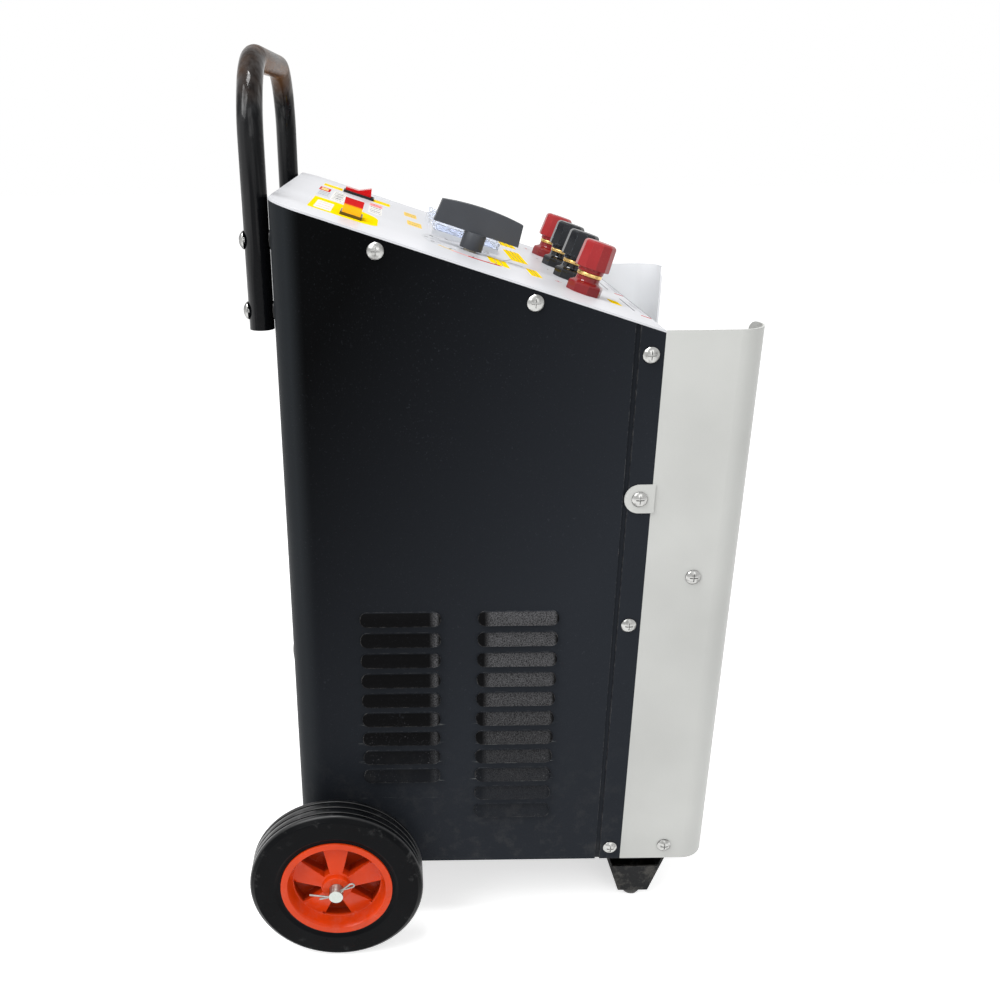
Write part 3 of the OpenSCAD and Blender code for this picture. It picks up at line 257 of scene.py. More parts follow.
class EffectShelf:
    """Builds each shared effect once, and hands it out."""

    def __init__(self) -> None:
        """Builds every effect."""
        self.trees = {
            Effect.SPECKLE: self.speckle(),
            Effect.WEAR: self.wear(),
            Effect.CLOUD: self.cloud(),
            Effect.SCUFF: self.scuff(),
            Effect.DUST: self.dust(),
            Effect.FADE: self.fade(),
        }

    @staticmethod
    def _group(
        effect: Effect, inputs: dict[str, float], *outputs: str
    ) -> tuple[Bench, Sockets, Sockets]:
        """Starts a node group that has a Vector input.

        Args:
            effect: Which effect it is.
            inputs: Default of each value input, by its name.
            outputs: Names of the value outputs.

        Returns:
            The bench, the sockets that the group is given and those of its result.
        """
        tree = bpy.data.node_groups.new(effect.value, "ShaderNodeTree")
        tree.interface.new_socket("Vector", in_out="INPUT", socket_type="NodeSocketVector")
        for name, start in inputs.items():
            socket = tree.interface.new_socket(name, in_out="INPUT", socket_type="NodeSocketFloat")
            socket.default_value = start
        for name in outputs:
            tree.interface.new_socket(name, in_out="OUTPUT", socket_type="NodeSocketFloat")
        given, result = tree.nodes.new("NodeGroupInput"), tree.nodes.new("NodeGroupOutput")
        return Bench(tree), given.outputs, result.inputs

    def speckle(self) -> bpy.types.NodeTree:
        """Builds the pimpled skin of powder paint and moulded plastic.

        Returns:
            A group with Scale in, and Height and Fleck out.
        """
        b, given, result = self._group(Effect.SPECKLE, {"Scale": 700.0}, "Height", "Fleck")
        skin = b.noise(given["Vector"], given["Scale"], 2.0, 0.55)
        flecks = b.add("TexVoronoi", feature="F1")
        b.join(given["Vector"], flecks.inputs["Vector"])
        b.join(b.times(given["Scale"], 0.8), flecks.inputs["Scale"])
        b.join(skin, result["Height"])
        fleck = b.span(flecks.outputs["Distance"], 0.05, 0.32, 1.0, 0.0)
        b.join(b.times(fleck, b.span(skin, 0.5, 0.68)), result["Fleck"])
        return b.tree

    def wear(self) -> bpy.types.NodeTree:
        """Builds the rubbed look of outside edges.

        Returns:
            A group with Radius, Scale and Amount in, and Mask out.
        """
        defaults = {"Radius": 0.0008, "Scale": 120.0, "Amount": 0.5}
        b, given, result = self._group(Effect.WEAR, defaults, "Mask")
        soft = b.add("Bevel", samples=4)
        b.join(given["Radius"], soft.inputs["Radius"])
        dot = b.add("VectorMath", operation="DOT_PRODUCT")
        b.join(soft.outputs[0], dot.inputs[0])
        b.join(b.add("NewGeometry").outputs["Normal"], dot.inputs[1])
        edge = b.span(dot.outputs["Value"], 0.985, 0.86)
        rub = b.span(b.noise(given["Vector"], given["Scale"], 5.0, 0.7), 0.45, 0.62)
        b.join(b.times(edge, rub, given["Amount"], clamp=True), result["Mask"])
        return b.tree

    def cloud(self) -> bpy.types.NodeTree:
        """Builds a slow change of tone.

        Returns:
            A group with Scale in, and Value out, around 0.5.
        """
        b, given, result = self._group(Effect.CLOUD, {"Scale": 9.0}, "Value")
        b.join(b.noise(given["Vector"], given["Scale"], 3.0), result["Value"])
        return b.tree

    def scuff(self) -> bpy.types.NodeTree:
        """Builds thin scattered scratches.

        Returns:
            A group with Scale and Amount in, and Mask out.
        """
        b, given, result = self._group(Effect.SCUFF, {"Scale": 14.0, "Amount": 0.4}, "Mask")
        found = 0.0
        for turn in (0.35, 1.25, 2.3):
            along = b.stretch(given["Vector"], (1.0, 22.0, 22.0), (turn, 0.3 * turn, turn))
            streak = b.span(b.noise(along, given["Scale"], 2.0, 0.6), 0.68, 0.74)
            found = b.sum("MAXIMUM", streak, found)
        where = b.span(b.noise(given["Vector"], given["Scale"], 1.0), 0.48, 0.62)
        b.join(b.times(found, where, given["Amount"], clamp=True), result["Mask"])
        return b.tree

    def dust(self) -> bpy.types.NodeTree:
        """Builds dust that thickens towards the ground.

        Returns:
            A group with Height, Scale and Amount in, and Mask out.
        """
        defaults = {"Height": 0.12, "Scale": 60.0, "Amount": 0.4}
        b, given, result = self._group(Effect.DUST, defaults, "Mask")
        rise = b.sum("DIVIDE", b.axes(given["Vector"])["Z"], given["Height"])
        low = b.sum("SUBTRACT", 1.0, rise, True)
        patch = b.span(b.noise(given["Vector"], given["Scale"], 6.0, 0.72), 0.5, 0.72)
        b.join(b.times(low, patch, given["Amount"], clamp=True), result["Mask"])
        return b.tree

    def fade(self) -> bpy.types.NodeTree:
        """Builds the painted shade of the cabinet's sides: a value that grows from the rear top towards
        the front bottom.

        Returns:
            A group with Start, Forward and Down in, and Value out, 0 to 1.
        """
        defaults = {"Start": 1.3, "Forward": 3.0, "Down": 1.8}
        b, given, result = self._group(Effect.FADE, defaults, "Value")
        apart = b.axes(given["Vector"])
        left = b.sum("SUBTRACT", given["Start"], b.times(apart["Y"], given["Forward"]))
        b.join(b.sum("SUBTRACT", left, b.times(apart["Z"], given["Down"]), True), result["Value"])
        return b.tree

    def put(self, bench: Bench, effect: Effect, vector: Socket, **values: float) -> Sockets:
        """Places an effect in a material.

        Args:
            bench: The material's bench.
            effect: Which effect.
            vector: The coordinates that it is read at.
            values: The effect's inputs.

        Returns:
            The effect's outputs.
        """
        node = bench.add("Group", node_tree=self.trees[effect], **values)
        bench.join(vector, node.inputs["Vector"])
        return node.outputs


SHELF = EffectShelf()


@dataclass(frozen=True)
class Finish:
    """What every finish has: a name, a colour and a gloss."""

    name: str
    colour: Colour
    roughness: float = 0.5
    level: float = 0.5

    def start(self) -> tuple[bpy.types.Material, Bench, Sockets, Socket]:
        """Starts the material.

        Returns:
            The material, its bench, its Principled shader's inputs and the object's coordinates.
        """
        material = bpy.data.materials.new(self.name)
        material.use_nodes = True
        material.diffuse_color = (*self.colour, 1.0)
        bench = Bench(material.node_tree)
        shader = next(n for n in material.node_tree.nodes if n.type == "BSDF_PRINCIPLED").inputs
        shader["Base Color"].default_value = (*self.colour, 1.0)
        shader["Roughness"].default_value = self.roughness
        shader["Specular IOR Level"].default_value = self.level
        return material, bench, shader, bench.place()

    def shade(self, factor: float) -> Colour:
        """The finish's colour, each channel multiplied by a factor."""
        return tuple(min(1.0, c * factor) for c in self.colour)

    def gloss(self, bench: Bench, tone: Socket, less: float, more: float) -> Socket:
        """Gives a roughness that changes with a tone cloud.

        Args:
            bench: The material's bench.
            tone: The cloud.
            less: How far the roughness falls below the finish's own.
            more: How far it rises above.

        Returns:
            The roughness.
        """
        return bench.span(tone, *TONES, self.roughness - less, self.roughness + more)

    @staticmethod
    def dent(bench: Bench, shader: Sockets, height: Socket, depth: float) -> None:
        """Feeds a height to the shader's normal.

        Args:
            bench: The material's bench.
            shader: The Principled shader's inputs.
            height: The height, 0 to 1.
            depth: What a height of 1 is, in metres.
        """
        bump = bench.add("Bump", Strength=1.0, Distance=depth)
        bench.join(height, bump.inputs["Height"])
        bench.join(bump.outputs[0], shader["Normal"])


@dataclass(frozen=True)
class PowderPaint(Finish):
    """Sprayed and baked paint on sheet steel, with a fine pimpled skin."""

    grain: float = 700.0
    depth: float = 0.00012
    fleck: float = 0.35
    fleck_colour: Colour = (0.2, 0.2, 0.2)
    bare: Colour = (0.35, 0.34, 0.33)
    wear: float = 0.35
    scuff: float = 0.25
    dust: float = 0.25
    tone_scale: float = 7.0

    def ground(self, b: Bench, spot: Socket) -> Socket:
        """Gives the paint's own colour, before flecks, scuffs and dust.

        Args:
            b: The material's bench.
            spot: The object's coordinates.

        Returns:
            The colour.
        """
        tone = SHELF.put(b, Effect.CLOUD, spot, Scale=self.tone_scale)[0]
        return b.blend(b.span(tone, *TONES), self.shade(0.9), self.shade(1.08))

    def material(self) -> bpy.types.Material:
        """Builds the material.

        Returns:
            The material.
        """
        m, b, shader, spot = self.start()
        skin = SHELF.put(b, Effect.SPECKLE, spot, Scale=self.grain)
        tone = SHELF.put(b, Effect.CLOUD, spot, Scale=self.tone_scale)[0]
        scuffs = SHELF.put(b, Effect.SCUFF, spot, Scale=16.0, Amount=self.scuff)[0]
        dust = SHELF.put(b, Effect.DUST, spot, Height=0.2, Scale=55.0, Amount=self.dust)[0]
        worn = SHELF.put(b, Effect.WEAR, spot, Radius=0.0009, Scale=160.0, Amount=self.wear)[0]
        colour = b.blend(b.times(skin["Fleck"], self.fleck), self.ground(b, spot), self.fleck_colour)
        colour = b.blend(scuffs, colour, self.fleck_colour)
        colour = b.blend(dust, colour, DUST_COLOUR)
        b.join(b.blend(worn, colour, self.bare), shader["Base Color"])
        rough = b.sum("ADD", self.gloss(b, tone, 0.04, 0.05), b.times(dust, 0.3), True)
        b.join(rough, shader["Roughness"])
        self.dent(b, shader, skin["Height"], self.depth)
        return m


@dataclass(frozen=True)
class PalePaint(PowderPaint):
    """Pale powder paint with a flatter skin and little wear."""

    depth: float = 0.00005
    fleck: float = 0.06
    wear: float = 0.2
    scuff: float = 0.05
    dust: float = 0.08


@dataclass(frozen=True)
class CabinetPaint(PowderPaint):
    """Black powder paint with painted shade that darkens it towards the rear top, a painted highlight on
    its rear bends, painted light and shadow on its louvre hoods, and scratched hood lips.
    """

    side_x: float = 0.175
    front_y: float = -0.0255
    middle_y: float = 0.023
    rear_y: float = 0.071
    hood_wide: float = 0.066
    hood_grain: float = 1300.0
    hood_light: Colour = srgb(85, 85, 87)
    hood_shadow: Colour = srgb(9, 9, 10)
    front_lit: Pair = (0.08, 0.16)
    rear_lit: Pair = (0.86, 0.94)
    bend_light: Colour = srgb(40, 43, 46)
    scratch: Colour = srgb(150, 152, 150)
    top_row: float = 0.312
    row_pitch: float = 0.0191

    def ground(self, b: Bench, spot: Socket) -> Socket:
        """Gives the paint's colour, with the painted shade over the sheet, the painted highlight on its
        rear bends and the painted light and shadow on its hoods.

        Args:
            b: The material's bench.
            spot: The object's coordinates.

        Returns:
            The colour.
        """
        # Painted shade: the black is darkest at the rear top and lightens towards the front bottom.
        fade = SHELF.put(b, Effect.FADE, spot, Start=1.37, Forward=3.1, Down=1.8)[0]
        sheet = b.blend(fade, self.shade(0.05), self.shade(1.04))
        # Painted highlight: a lighter colour on the bends whose faces turn to the rear.
        sheet = b.blend(b.span(b.normal()["Y"], 0.1, 0.5, 0.0, 0.7), sheet, self.bend_light)
        apart = b.axes(spot)
        hood = b.span(b.sum("ABSOLUTE", apart["X"]), self.side_x + 0.0002, self.side_x + 0.0009)
        fine = SHELF.put(b, Effect.SPECKLE, spot, Scale=self.hood_grain)["Height"]
        # Painted light and shadow on the louvre hoods: a lit stretch with shadowed ends, dimmer on the
        # lower rows.
        lit = b.times(b.span(fine, 0.38, 0.62, 0.15, 1.0), b.span(apart["Z"], 0.1, 0.27, 0.08, 1.0))
        front = self.lit_part(b, apart["Y"], self.front_y, self.front_lit)
        rear = self.lit_part(b, apart["Y"], self.rear_y, self.rear_lit)
        ahead = b.span(apart["Y"], self.middle_y - MM, self.middle_y + MM, 1.0, 0.0)
        part = b.sum("ADD", b.times(ahead, front), b.times(b.sum("SUBTRACT", 1.0, ahead), rear))
        shown = b.blend(b.times(lit, part, clamp=True), self.hood_shadow, self.hood_light)
        sheet = b.blend(b.times(hood, b.span(apart["Z"], 0.1, 0.2, 0.25, 1.0)), sheet, shown)
        marks = SHELF.put(b, Effect.SCUFF, spot, Scale=34.0, Amount=0.9)[0]
        near = b.times(b.span(apart["Z"], 0.19, 0.24, 1.0, 0.0), hood)
        sheet = b.blend(b.times(marks, near), sheet, self.hood_light)
        return b.blend(self.lip_scratches(b, spot, apart), sheet, self.scratch)

    def lip_scratches(self, b: Bench, spot: Socket, apart: Sockets) -> Socket:
        """Tells where the lower hoods' lips are scraped to bright lines.

        Args:
            b: The material's bench.
            spot: The object's coordinates.
            apart: The same, one by one.

        Returns:
            A value from 0 to 1.
        """
        row = b.sum("DIVIDE", b.sum("SUBTRACT", self.top_row, apart["Z"]), self.row_pitch)
        row = b.sum("FRACT", row)
        lip = b.times(b.span(row, 0.27, 0.31), b.span(row, 0.38, 0.42, 1.0, 0.0))
        streak = b.noise(b.stretch(spot, (50.0, 70.0, 1600.0)), 1.0, 4.0, 0.7)
        low = b.times(b.span(apart["Z"], 0.13, 0.15), b.span(apart["Z"], 0.19, 0.23, 1.0, 0.0))
        front, rear = (
            b.span(b.sum("ABSOLUTE", b.sum("SUBTRACT", apart["Y"], middle)), 0.032, 0.038, 1.0, 0.0)
            for middle in (self.front_y, self.rear_y)
        )
        return b.times(lip, low, b.sum("MAXIMUM", front, rear), b.span(streak, 0.54, 0.68, 0.0, 0.9))

    def lit_part(self, b: Bench, along: Socket, middle: float, shares: Pair) -> Socket:
        """Tells how much painted light a hood's surface gets along its length.

        Args:
            b: The material's bench.
            along: The Y coordinate.
            middle: The hoods' middle.
            shares: Share of the hood's length, from its rear end, that stays in shadow, and the
                share from which it is fully lit.

        Returns:
            A value from 0 to 1.
        """
        half = self.hood_wide / 2
        dark, light = (middle + half - share * self.hood_wide for share in shares)
        fall = b.span(along, middle - half + 0.0035, middle - half + 0.001, 1.0, 0.0)
        return b.times(b.span(along, dark, light), fall)


@dataclass(frozen=True)
class Plating(Finish):
    """Bright plated or bare metal with a drawn grain, and on screws painted shade in the cross recess."""

    stain: Colour = (0.35, 0.33, 0.3)
    stain_amount: float = 0.25
    recess: float = 0.0
    grain_scale: Point = (60.0, 900.0, 900.0)

    def material(self) -> bpy.types.Material:
        """Builds the material.

        Returns:
            The material.
        """
        m, b, shader, spot = self.start()
        shader["Metallic"].default_value = 1.0
        grain = b.noise(b.stretch(spot, self.grain_scale), 1.0, 3.0, 0.6)
        tone = SHELF.put(b, Effect.CLOUD, spot, Scale=180.0)[0]
        stain = b.span(tone, 0.5, 0.75, 0.0, self.stain_amount)
        colour = b.blend(stain, self.colour, self.stain)
        if self.recess:
            # Painted shade: faces that turn away from the X axis, such as the cross recess walls, are
            # darkened.
            slant = b.sum("ABSOLUTE", b.normal("True Normal")["X"])
            colour = b.blend(b.span(slant, 0.25, 0.7, self.recess, 0.0), colour, self.shade(0.04))
        b.join(colour, shader["Base Color"])
        rough = b.span(grain, *TONES, max(0.05, self.roughness - 0.08), self.roughness + 0.1)
        b.join(b.sum("ADD", rough, b.times(stain, 0.4), True), shader["Roughness"])
        self.dent(b, shader, grain, 0.00002)
        return m


@dataclass(frozen=True)
class Moulding(Finish):
    """Moulded plastic or rubber, with a faint skin and rubbed edges."""

    grain: float = 900.0
    worn: Colour = (0.3, 0.3, 0.3)
    wear: float = 0.3
    scuff: float = 0.15
    dust: float = 0.0
    depth: float = 0.00004

    def tint(self, b: Bench, spot: Socket, colour: Socket) -> Socket:
        """Gives the plastic's colour, which a special plastic changes from place to place."""
        return colour

    def material(self) -> bpy.types.Material:
        """Builds the material.

        Returns:
            The material.
        """
        m, b, shader, spot = self.start()
        skin = SHELF.put(b, Effect.SPECKLE, spot, Scale=self.grain)["Height"]
        tone = SHELF.put(b, Effect.CLOUD, spot, Scale=40.0)[0]
        scuffs = SHELF.put(b, Effect.SCUFF, spot, Scale=60.0, Amount=self.scuff)[0]
        worn = SHELF.put(b, Effect.WEAR, spot, Radius=0.0006, Scale=260.0, Amount=self.wear)[0]
        colour = b.blend(b.span(tone, *TONES), self.shade(0.9), self.shade(1.06))
        colour = b.blend(scuffs, colour, self.worn)
        colour = b.blend(worn, colour, self.worn)
        rough = self.gloss(b, tone, 0.05, 0.06)
        if self.dust:
            dust = SHELF.put(b, Effect.DUST, spot, Height=0.17, Scale=70.0, Amount=self.dust)[0]
            colour = b.blend(dust, colour, DUST_COLOUR)
            rough = b.sum("ADD", rough, b.times(dust, 0.35), True)
        b.join(self.tint(b, spot, colour), shader["Base Color"])
        b.join(rough, shader["Roughness"])
        self.dent(b, shader, skin, self.depth)
        return m


@dataclass(frozen=True)
class RockerPlastic(Moulding):
    """Clear red plastic with a painted amber reflection of the yellow print towards the panel."""

    amber: Colour = srgb(255, 176, 0)
    normal: Point = (0.0, -0.31326, 0.94967)
    panel_out: float = 0.55704
    low: float = 0.0076
    high: float = 0.0088

    def tint(self, b: Bench, spot: Socket, colour: Socket) -> Socket:
        """Gives the plastic's colour: a painted amber reflection near the panel, its own colour above.

        Args:
            b: The material's bench.
            spot: The object's coordinates.
            colour: The plastic's own colour.

        Returns:
            The colour.
        """
        out = b.add("VectorMath", operation="DOT_PRODUCT")
        b.join(spot, out.inputs[0])
        out.inputs[1].default_value = self.normal
        height = b.sum("SUBTRACT", out.outputs["Value"], self.panel_out)
        # Painted reflection: amber near the panel, the red plastic further out.
        return b.blend(b.span(height, self.low, self.high), self.amber, colour)


@dataclass(frozen=True)
class HubPlastic(Moulding):
    """Orange plastic with painted shade inside the wheel's windows."""

    outside: float = 0.2115
    inside: float = 0.2095
    depth_share: float = 0.62

    def tint(self, b: Bench, spot: Socket, colour: Socket) -> Socket:
        """Gives the plastic's colour, with painted shade behind the wheel's face.

        Args:
            b: The material's bench.
            spot: The object's coordinates.
            colour: The plastic's own colour.

        Returns:
            The colour.
        """
        off = b.sum("ABSOLUTE", b.axes(spot)["X"])
        # Painted shade: the hub darkens behind its face, inside the windows.
        window_shade = b.span(off, self.inside, self.outside, self.depth_share, 0.0)
        return b.blend(window_shade, colour, self.shade(0.12))


@dataclass(frozen=True)
class HandlePaint(Finish):
    """Thick gloss paint on the push handle, browner towards the top, with a painted brown reflection
    under the bar, and rubbed round the grip.
    """

    brown: Colour = srgb(104, 74, 50)
    rubbed: Colour = srgb(190, 170, 150)
    grip_z: float = 0.70
    top_z: float = 0.742
    under_z: float = 0.715
    dull_z: float = 0.72
    bar_ends: Pair = (0.09, 0.12)

    def material(self) -> bpy.types.Material:
        """Builds the material.

        Returns:
            The material.
        """
        m, b, shader, spot = self.start()
        apart = b.axes(spot)
        high = b.span(apart["Z"], self.grip_z, self.top_z)
        bar = b.span(b.sum("ABSOLUTE", apart["X"]), *self.bar_ends, 1.0, 0.0)
        below = b.span(b.normal()["Z"], -0.2, 0.45, 1.0, 0.0)
        under = b.times(below, bar, b.span(apart["Z"], self.grip_z, self.under_z))
        skin = SHELF.put(b, Effect.SPECKLE, spot, Scale=260.0)["Height"]
        tone = SHELF.put(b, Effect.CLOUD, spot, Scale=26.0)[0]
        scuffs = SHELF.put(b, Effect.SCUFF, spot, Scale=30.0, Amount=0.5)[0]
        above = b.times(high, b.span(tone, 0.42, 0.66, 0.1, 0.6))
        # Painted reflection: brown on the bar's downward faces.
        painted_reflection_under = b.times(under, b.span(tone, 0.3, 0.5, 0.5, 1.0))
        colour = b.blend(b.sum("MAXIMUM", above, painted_reflection_under), self.colour, self.brown)
        b.join(b.blend(b.times(scuffs, high), colour, self.rubbed), shader["Base Color"])
        b.join(self.gloss(b, tone, 0.0, 0.1), shader["Roughness"])
        streak = b.noise(b.stretch(spot, (110.0, 110.0, 5.0)), 1.0, 3.0, 0.6)
        dulled = b.times(bar, b.span(apart["Z"], self.grip_z, self.dull_z, 0.0, 0.95))
        bright = b.sum("SUBTRACT", 1.0, dulled)
        b.join(b.times(b.span(streak, 0.42, 0.6, 0.03, 0.6), bright), shader["Coat Weight"])
        b.join(b.times(bright, self.level), shader["Specular IOR Level"])
        shader["Coat Roughness"].default_value = 0.05
        self.dent(b, shader, skin, 0.0003)
        return m


@dataclass(frozen=True)
class ClearCover(Finish):
    """Clear moulded plastic over a meter."""

    clearness: float = 0.86
    bending: float = 1.025

    def material(self) -> bpy.types.Material:
        """Builds the material.

        Returns:
            The material.
        """
        m, b, shader, spot = self.start()
        shader["Transmission Weight"].default_value = self.clearness
        shader["IOR"].default_value = self.bending
        tone = SHELF.put(b, Effect.CLOUD, spot, Scale=90.0)[0]
        b.join(b.span(tone, 0.4, 0.7, self.roughness, self.roughness + 0.05), shader["Roughness"])
        return m


@dataclass(frozen=True)
class Ink(Finish):
    """Printed ink or a printed label, slightly uneven."""

    mottle: float = 0.08

    def material(self) -> bpy.types.Material:
        """Builds the material.

        Returns:
            The material.
        """
        m, b, shader, spot = self.start()
        tone = SHELF.put(b, Effect.CLOUD, spot, Scale=260.0)[0]
        colour = b.blend(b.span(tone, 0.35, 0.65), self.shade(1.0 - self.mottle), self.colour)
        b.join(colour, shader["Base Color"])
        b.join(self.gloss(b, tone, 0.05, 0.08), shader["Roughness"])
        self.dent(b, shader, tone, 0.00003)
        return m


@dataclass(frozen=True)
class Layered(Finish):
    """Stacked plates or wound wire: fine lines along one axis."""

    axis: int = 1
    pitch: float = 0.0012
    dark: Colour = (0.02, 0.02, 0.02)
    metal: float = 0.6

    def material(self) -> bpy.types.Material:
        """Builds the material.

        Returns:
            The material.
        """
        m, b, shader, spot = self.start()
        shader["Metallic"].default_value = self.metal
        wave = b.sum("SINE", b.times(b.axes(spot)[self.axis], 2 * math.pi / self.pitch))
        line = b.span(wave, -1.0, 0.2)
        tone = SHELF.put(b, Effect.CLOUD, spot, Scale=45.0)[0]
        colour = b.blend(line, self.dark, self.colour)
        colour = b.blend(b.span(tone, 0.4, 0.8, 0.0, 0.5), colour, self.shade(0.6))
        b.join(colour, shader["Base Color"])
        b.join(self.gloss(b, tone, 0.08, 0.1), shader["Roughness"])
        self.dent(b, shader, line, 0.0001)
        return m


@dataclass(frozen=True)
class TyreRubber(Finish):
    """Solid rubber with moulding rings, scuffed pale where it rubs the ground."""

    hub_y: float = 0.129
    hub_z: float = 0.075
    ring_pitch: float = 0.0016
    rubbed: Colour = srgb(120, 120, 120)
    wall: Pair = (0.060, 0.0745)
    tread: Pair = (0.0735, 0.0748)
    tread_level: float = 0.55

    def material(self) -> bpy.types.Material:
        """Builds the material.

        Returns:
            The material.
        """
        m, b, shader, spot = self.start()
        apart = b.axes(spot)
        up = b.sum("SUBTRACT", apart["Z"], self.hub_z)
        along = b.sum("SUBTRACT", apart["Y"], self.hub_y)
        reach = b.sum("SQRT", b.sum("ADD", b.times(up, up), b.times(along, along)))
        rings = b.sum("SINE", b.times(reach, 2 * math.pi / self.ring_pitch))
        tone = SHELF.put(b, Effect.CLOUD, spot, Scale=30.0)[0]
        skin = SHELF.put(b, Effect.SPECKLE, spot, Scale=500.0)["Height"]
        patch = b.noise(spot, 85.0, 6.0, 0.75)
        rub = b.times(b.span(reach, *self.wall), b.span(patch, 0.56, 0.78, 0.0, 0.4))
        colour = b.blend(b.span(tone, *TONES), self.shade(0.8), self.shade(1.2))
        b.join(b.blend(rub, colour, self.rubbed), shader["Base Color"])
        rough = b.sum("ADD", self.gloss(b, tone, 0.06, 0.08), b.times(rub, 0.4), True)
        b.join(rough, shader["Roughness"])
        b.join(b.span(reach, *self.tread, self.level, self.tread_level), shader["Specular IOR Level"])
        self.dent(b, shader, b.sum("ADD", b.times(rings, 0.25), skin), 0.00005)
        return m


class Paintbox:
    """Every finish of the charger, each built once."""

    FINISHES: tuple[Finish, ...] = (
        CabinetPaint(
            "black_cabinet_paint", srgb(36, 39, 44), 0.42, 0.03,
            fleck=0.2, fleck_colour=srgb(72, 76, 82), wear=0.25, scuff=0.14, dust=0.1,
        ),
        PalePaint(
            "white_panel_paint", srgb(201, 202, 206), 0.35, 0.22,
            depth=0.00003, fleck=0.05, dust=0.0,
            fleck_colour=srgb(240, 240, 240), bare=srgb(170, 170, 170),
        ),
        PalePaint(
            "cream_tray_paint", srgb(192, 193, 190), 0.38, 0.25,
            fleck_colour=srgb(214, 214, 210), bare=srgb(140, 140, 136),
        ),
        # A lighter copy of the tray paint: painted light on the far wing's inner face.
        PalePaint(
            "tray_paint_painted_light", srgb(238, 240, 243), 0.38, 0.3,
            fleck_colour=srgb(236, 236, 234), bare=srgb(160, 160, 156),
        ),
        PowderPaint("black_foot_paint", srgb(20, 21, 23), 0.34, 0.15, fleck=0.2, wear=0.5, dust=0.35),
        HandlePaint("black_handle_paint", srgb(11, 12, 14), 0.13, 0.08),
        Plating("zinc_plate", srgb(164, 164, 162), 0.2, stain=srgb(70, 70, 68), stain_amount=0.7),
        Plating(
            "screw_zinc", srgb(176, 176, 174), 0.17,
            stain=srgb(70, 70, 68), stain_amount=0.75, recess=0.9,
        ),
        Plating(
            "galvanised_sheet", srgb(178, 182, 184), 0.42,
            stain=srgb(120, 124, 126), stain_amount=0.5,
        ),
        Plating("axle_steel", srgb(180, 188, 183), 0.3),
        Plating("pin_wire", srgb(150, 150, 146), 0.35),
        Plating("brass_plate", srgb(222, 186, 118), 0.24, stain=srgb(150, 110, 60)),
        Plating("pressed_aluminium", srgb(200, 203, 206), 0.34),
        Moulding("black_plastic", srgb(24, 25, 26), 0.36, 0.25, worn=srgb(90, 90, 92)),
        # Black bezel plastic whose olive colour is a painted reflection of the yellow print.
        Moulding("bezel_plastic_painted_reflection", srgb(84, 70, 22), 0.3, 0.15, worn=srgb(130, 116, 60)),
        Moulding(
            "grey_knob_plastic", srgb(60, 63, 68), 0.48, 0.3, grain=1200.0,
            worn=srgb(110, 112, 116),
        ),
        HubPlastic(
            "orange_hub_plastic", srgb(208, 60, 12), 0.22, 0.2,
            worn=srgb(226, 100, 50), wear=0.15, dust=0.12,
        ),
        Moulding("red_rocker_plastic", srgb(196, 14, 18), 0.16, 0.12, worn=srgb(214, 50, 46)),
        RockerPlastic("rocker_plastic_painted_reflection", srgb(190, 12, 14), 0.16, 0.12, worn=srgb(214, 50, 46)),
        # The pale edge colour is a painted edge highlight as well as wear.
        Moulding(
            "red_post_plastic", srgb(148, 34, 37), 0.22, 0.3,
            worn=srgb(214, 120, 118), wear=0.5, scuff=0.3,
        ),
        Moulding(
            "red_base_plastic", srgb(122, 22, 26), 0.12, 0.4,
            worn=srgb(200, 100, 100), wear=0.4, scuff=0.3,
        ),
        # The pale bluish edge colours of these two are painted edge highlights as well as wear.
        Moulding(
            "black_post_plastic", srgb(20, 23, 28), 0.18, 0.3,
            worn=srgb(150, 160, 172), wear=0.6, scuff=0.3,
        ),
        Moulding(
            "black_base_plastic", srgb(12, 14, 18), 0.1, 0.45,
            worn=srgb(140, 148, 158), wear=0.5, scuff=0.4,
        ),
        Moulding("grey_meter_plastic", srgb(206, 209, 214), 0.4, worn=srgb(180, 182, 186)),
        Moulding("switch_plastic", srgb(214, 206, 186), 0.45, worn=srgb(230, 226, 214)),
        Moulding("black_rubber", srgb(22, 22, 23), 0.6, worn=srgb(70, 70, 70), dust=0.5),
        Moulding("red_sleeve", srgb(184, 30, 28), 0.4, worn=srgb(210, 90, 80)),
        TyreRubber("tyre_rubber", srgb(9, 10, 12), 0.32, 0.05),
        ClearCover("clear_cover", srgb(240, 244, 252), 0.08),
        Ink("dial_card", srgb(214, 220, 236), 0.5, 0.2, mottle=0.03),
        Ink("yellow_ink", srgb(250, 212, 12), 0.5, 0.0),
        Ink("amber_ink", srgb(236, 200, 104), 0.5, 0.0),
        Ink("red_ink", srgb(196, 40, 34), 0.5, 0.0),
        Ink("pink_ink", srgb(238, 150, 150), 0.45),
        Ink("grey_ink", srgb(100, 102, 108), 0.45),
        Ink("pale_grey_ink", srgb(196, 199, 203), 0.45),
        Ink("black_ink", srgb(34, 34, 36), 0.45),
        Ink("white_label", srgb(226, 224, 220), 0.4, 0.1, mottle=0.03),
        Layered("laminated_iron", srgb(110, 108, 104), 0.45, pitch=0.001),
        Layered(
            "enamelled_copper", srgb(184, 96, 48), 0.3,
            axis=2, pitch=0.0018, dark=srgb(70, 30, 14), metal=0.85,
        ),
    )

    def __init__(self) -> None:
        """Starts with no material built."""
        self.known = {finish.name: finish for finish in self.FINISHES}
        self.built: dict[str, bpy.types.Material] = {}

    def get(self, name: str) -> bpy.types.Material:
        """Gives a finish's material.

        Args:
            name: The finish's name.

        Returns:
            The material, built on its first use.
        """
        if name not in self.built:
            self.built[name] = self.known[name].material()
        return self.built[name]


PAINT = Paintbox()


# ---------------------------------------------------------------- mesh work


def hang(name: str, data: bpy.types.ID) -> bpy.types.Object:
    """Makes an object and puts it in the scene.

    Args:
        name: The object's name.
        data: Its mesh, lamp, camera or curve.

    Returns:
        The object.
    """
    thing = bpy.data.objects.new(name, data)
    bpy.context.scene.collection.objects.link(thing)
    return thing


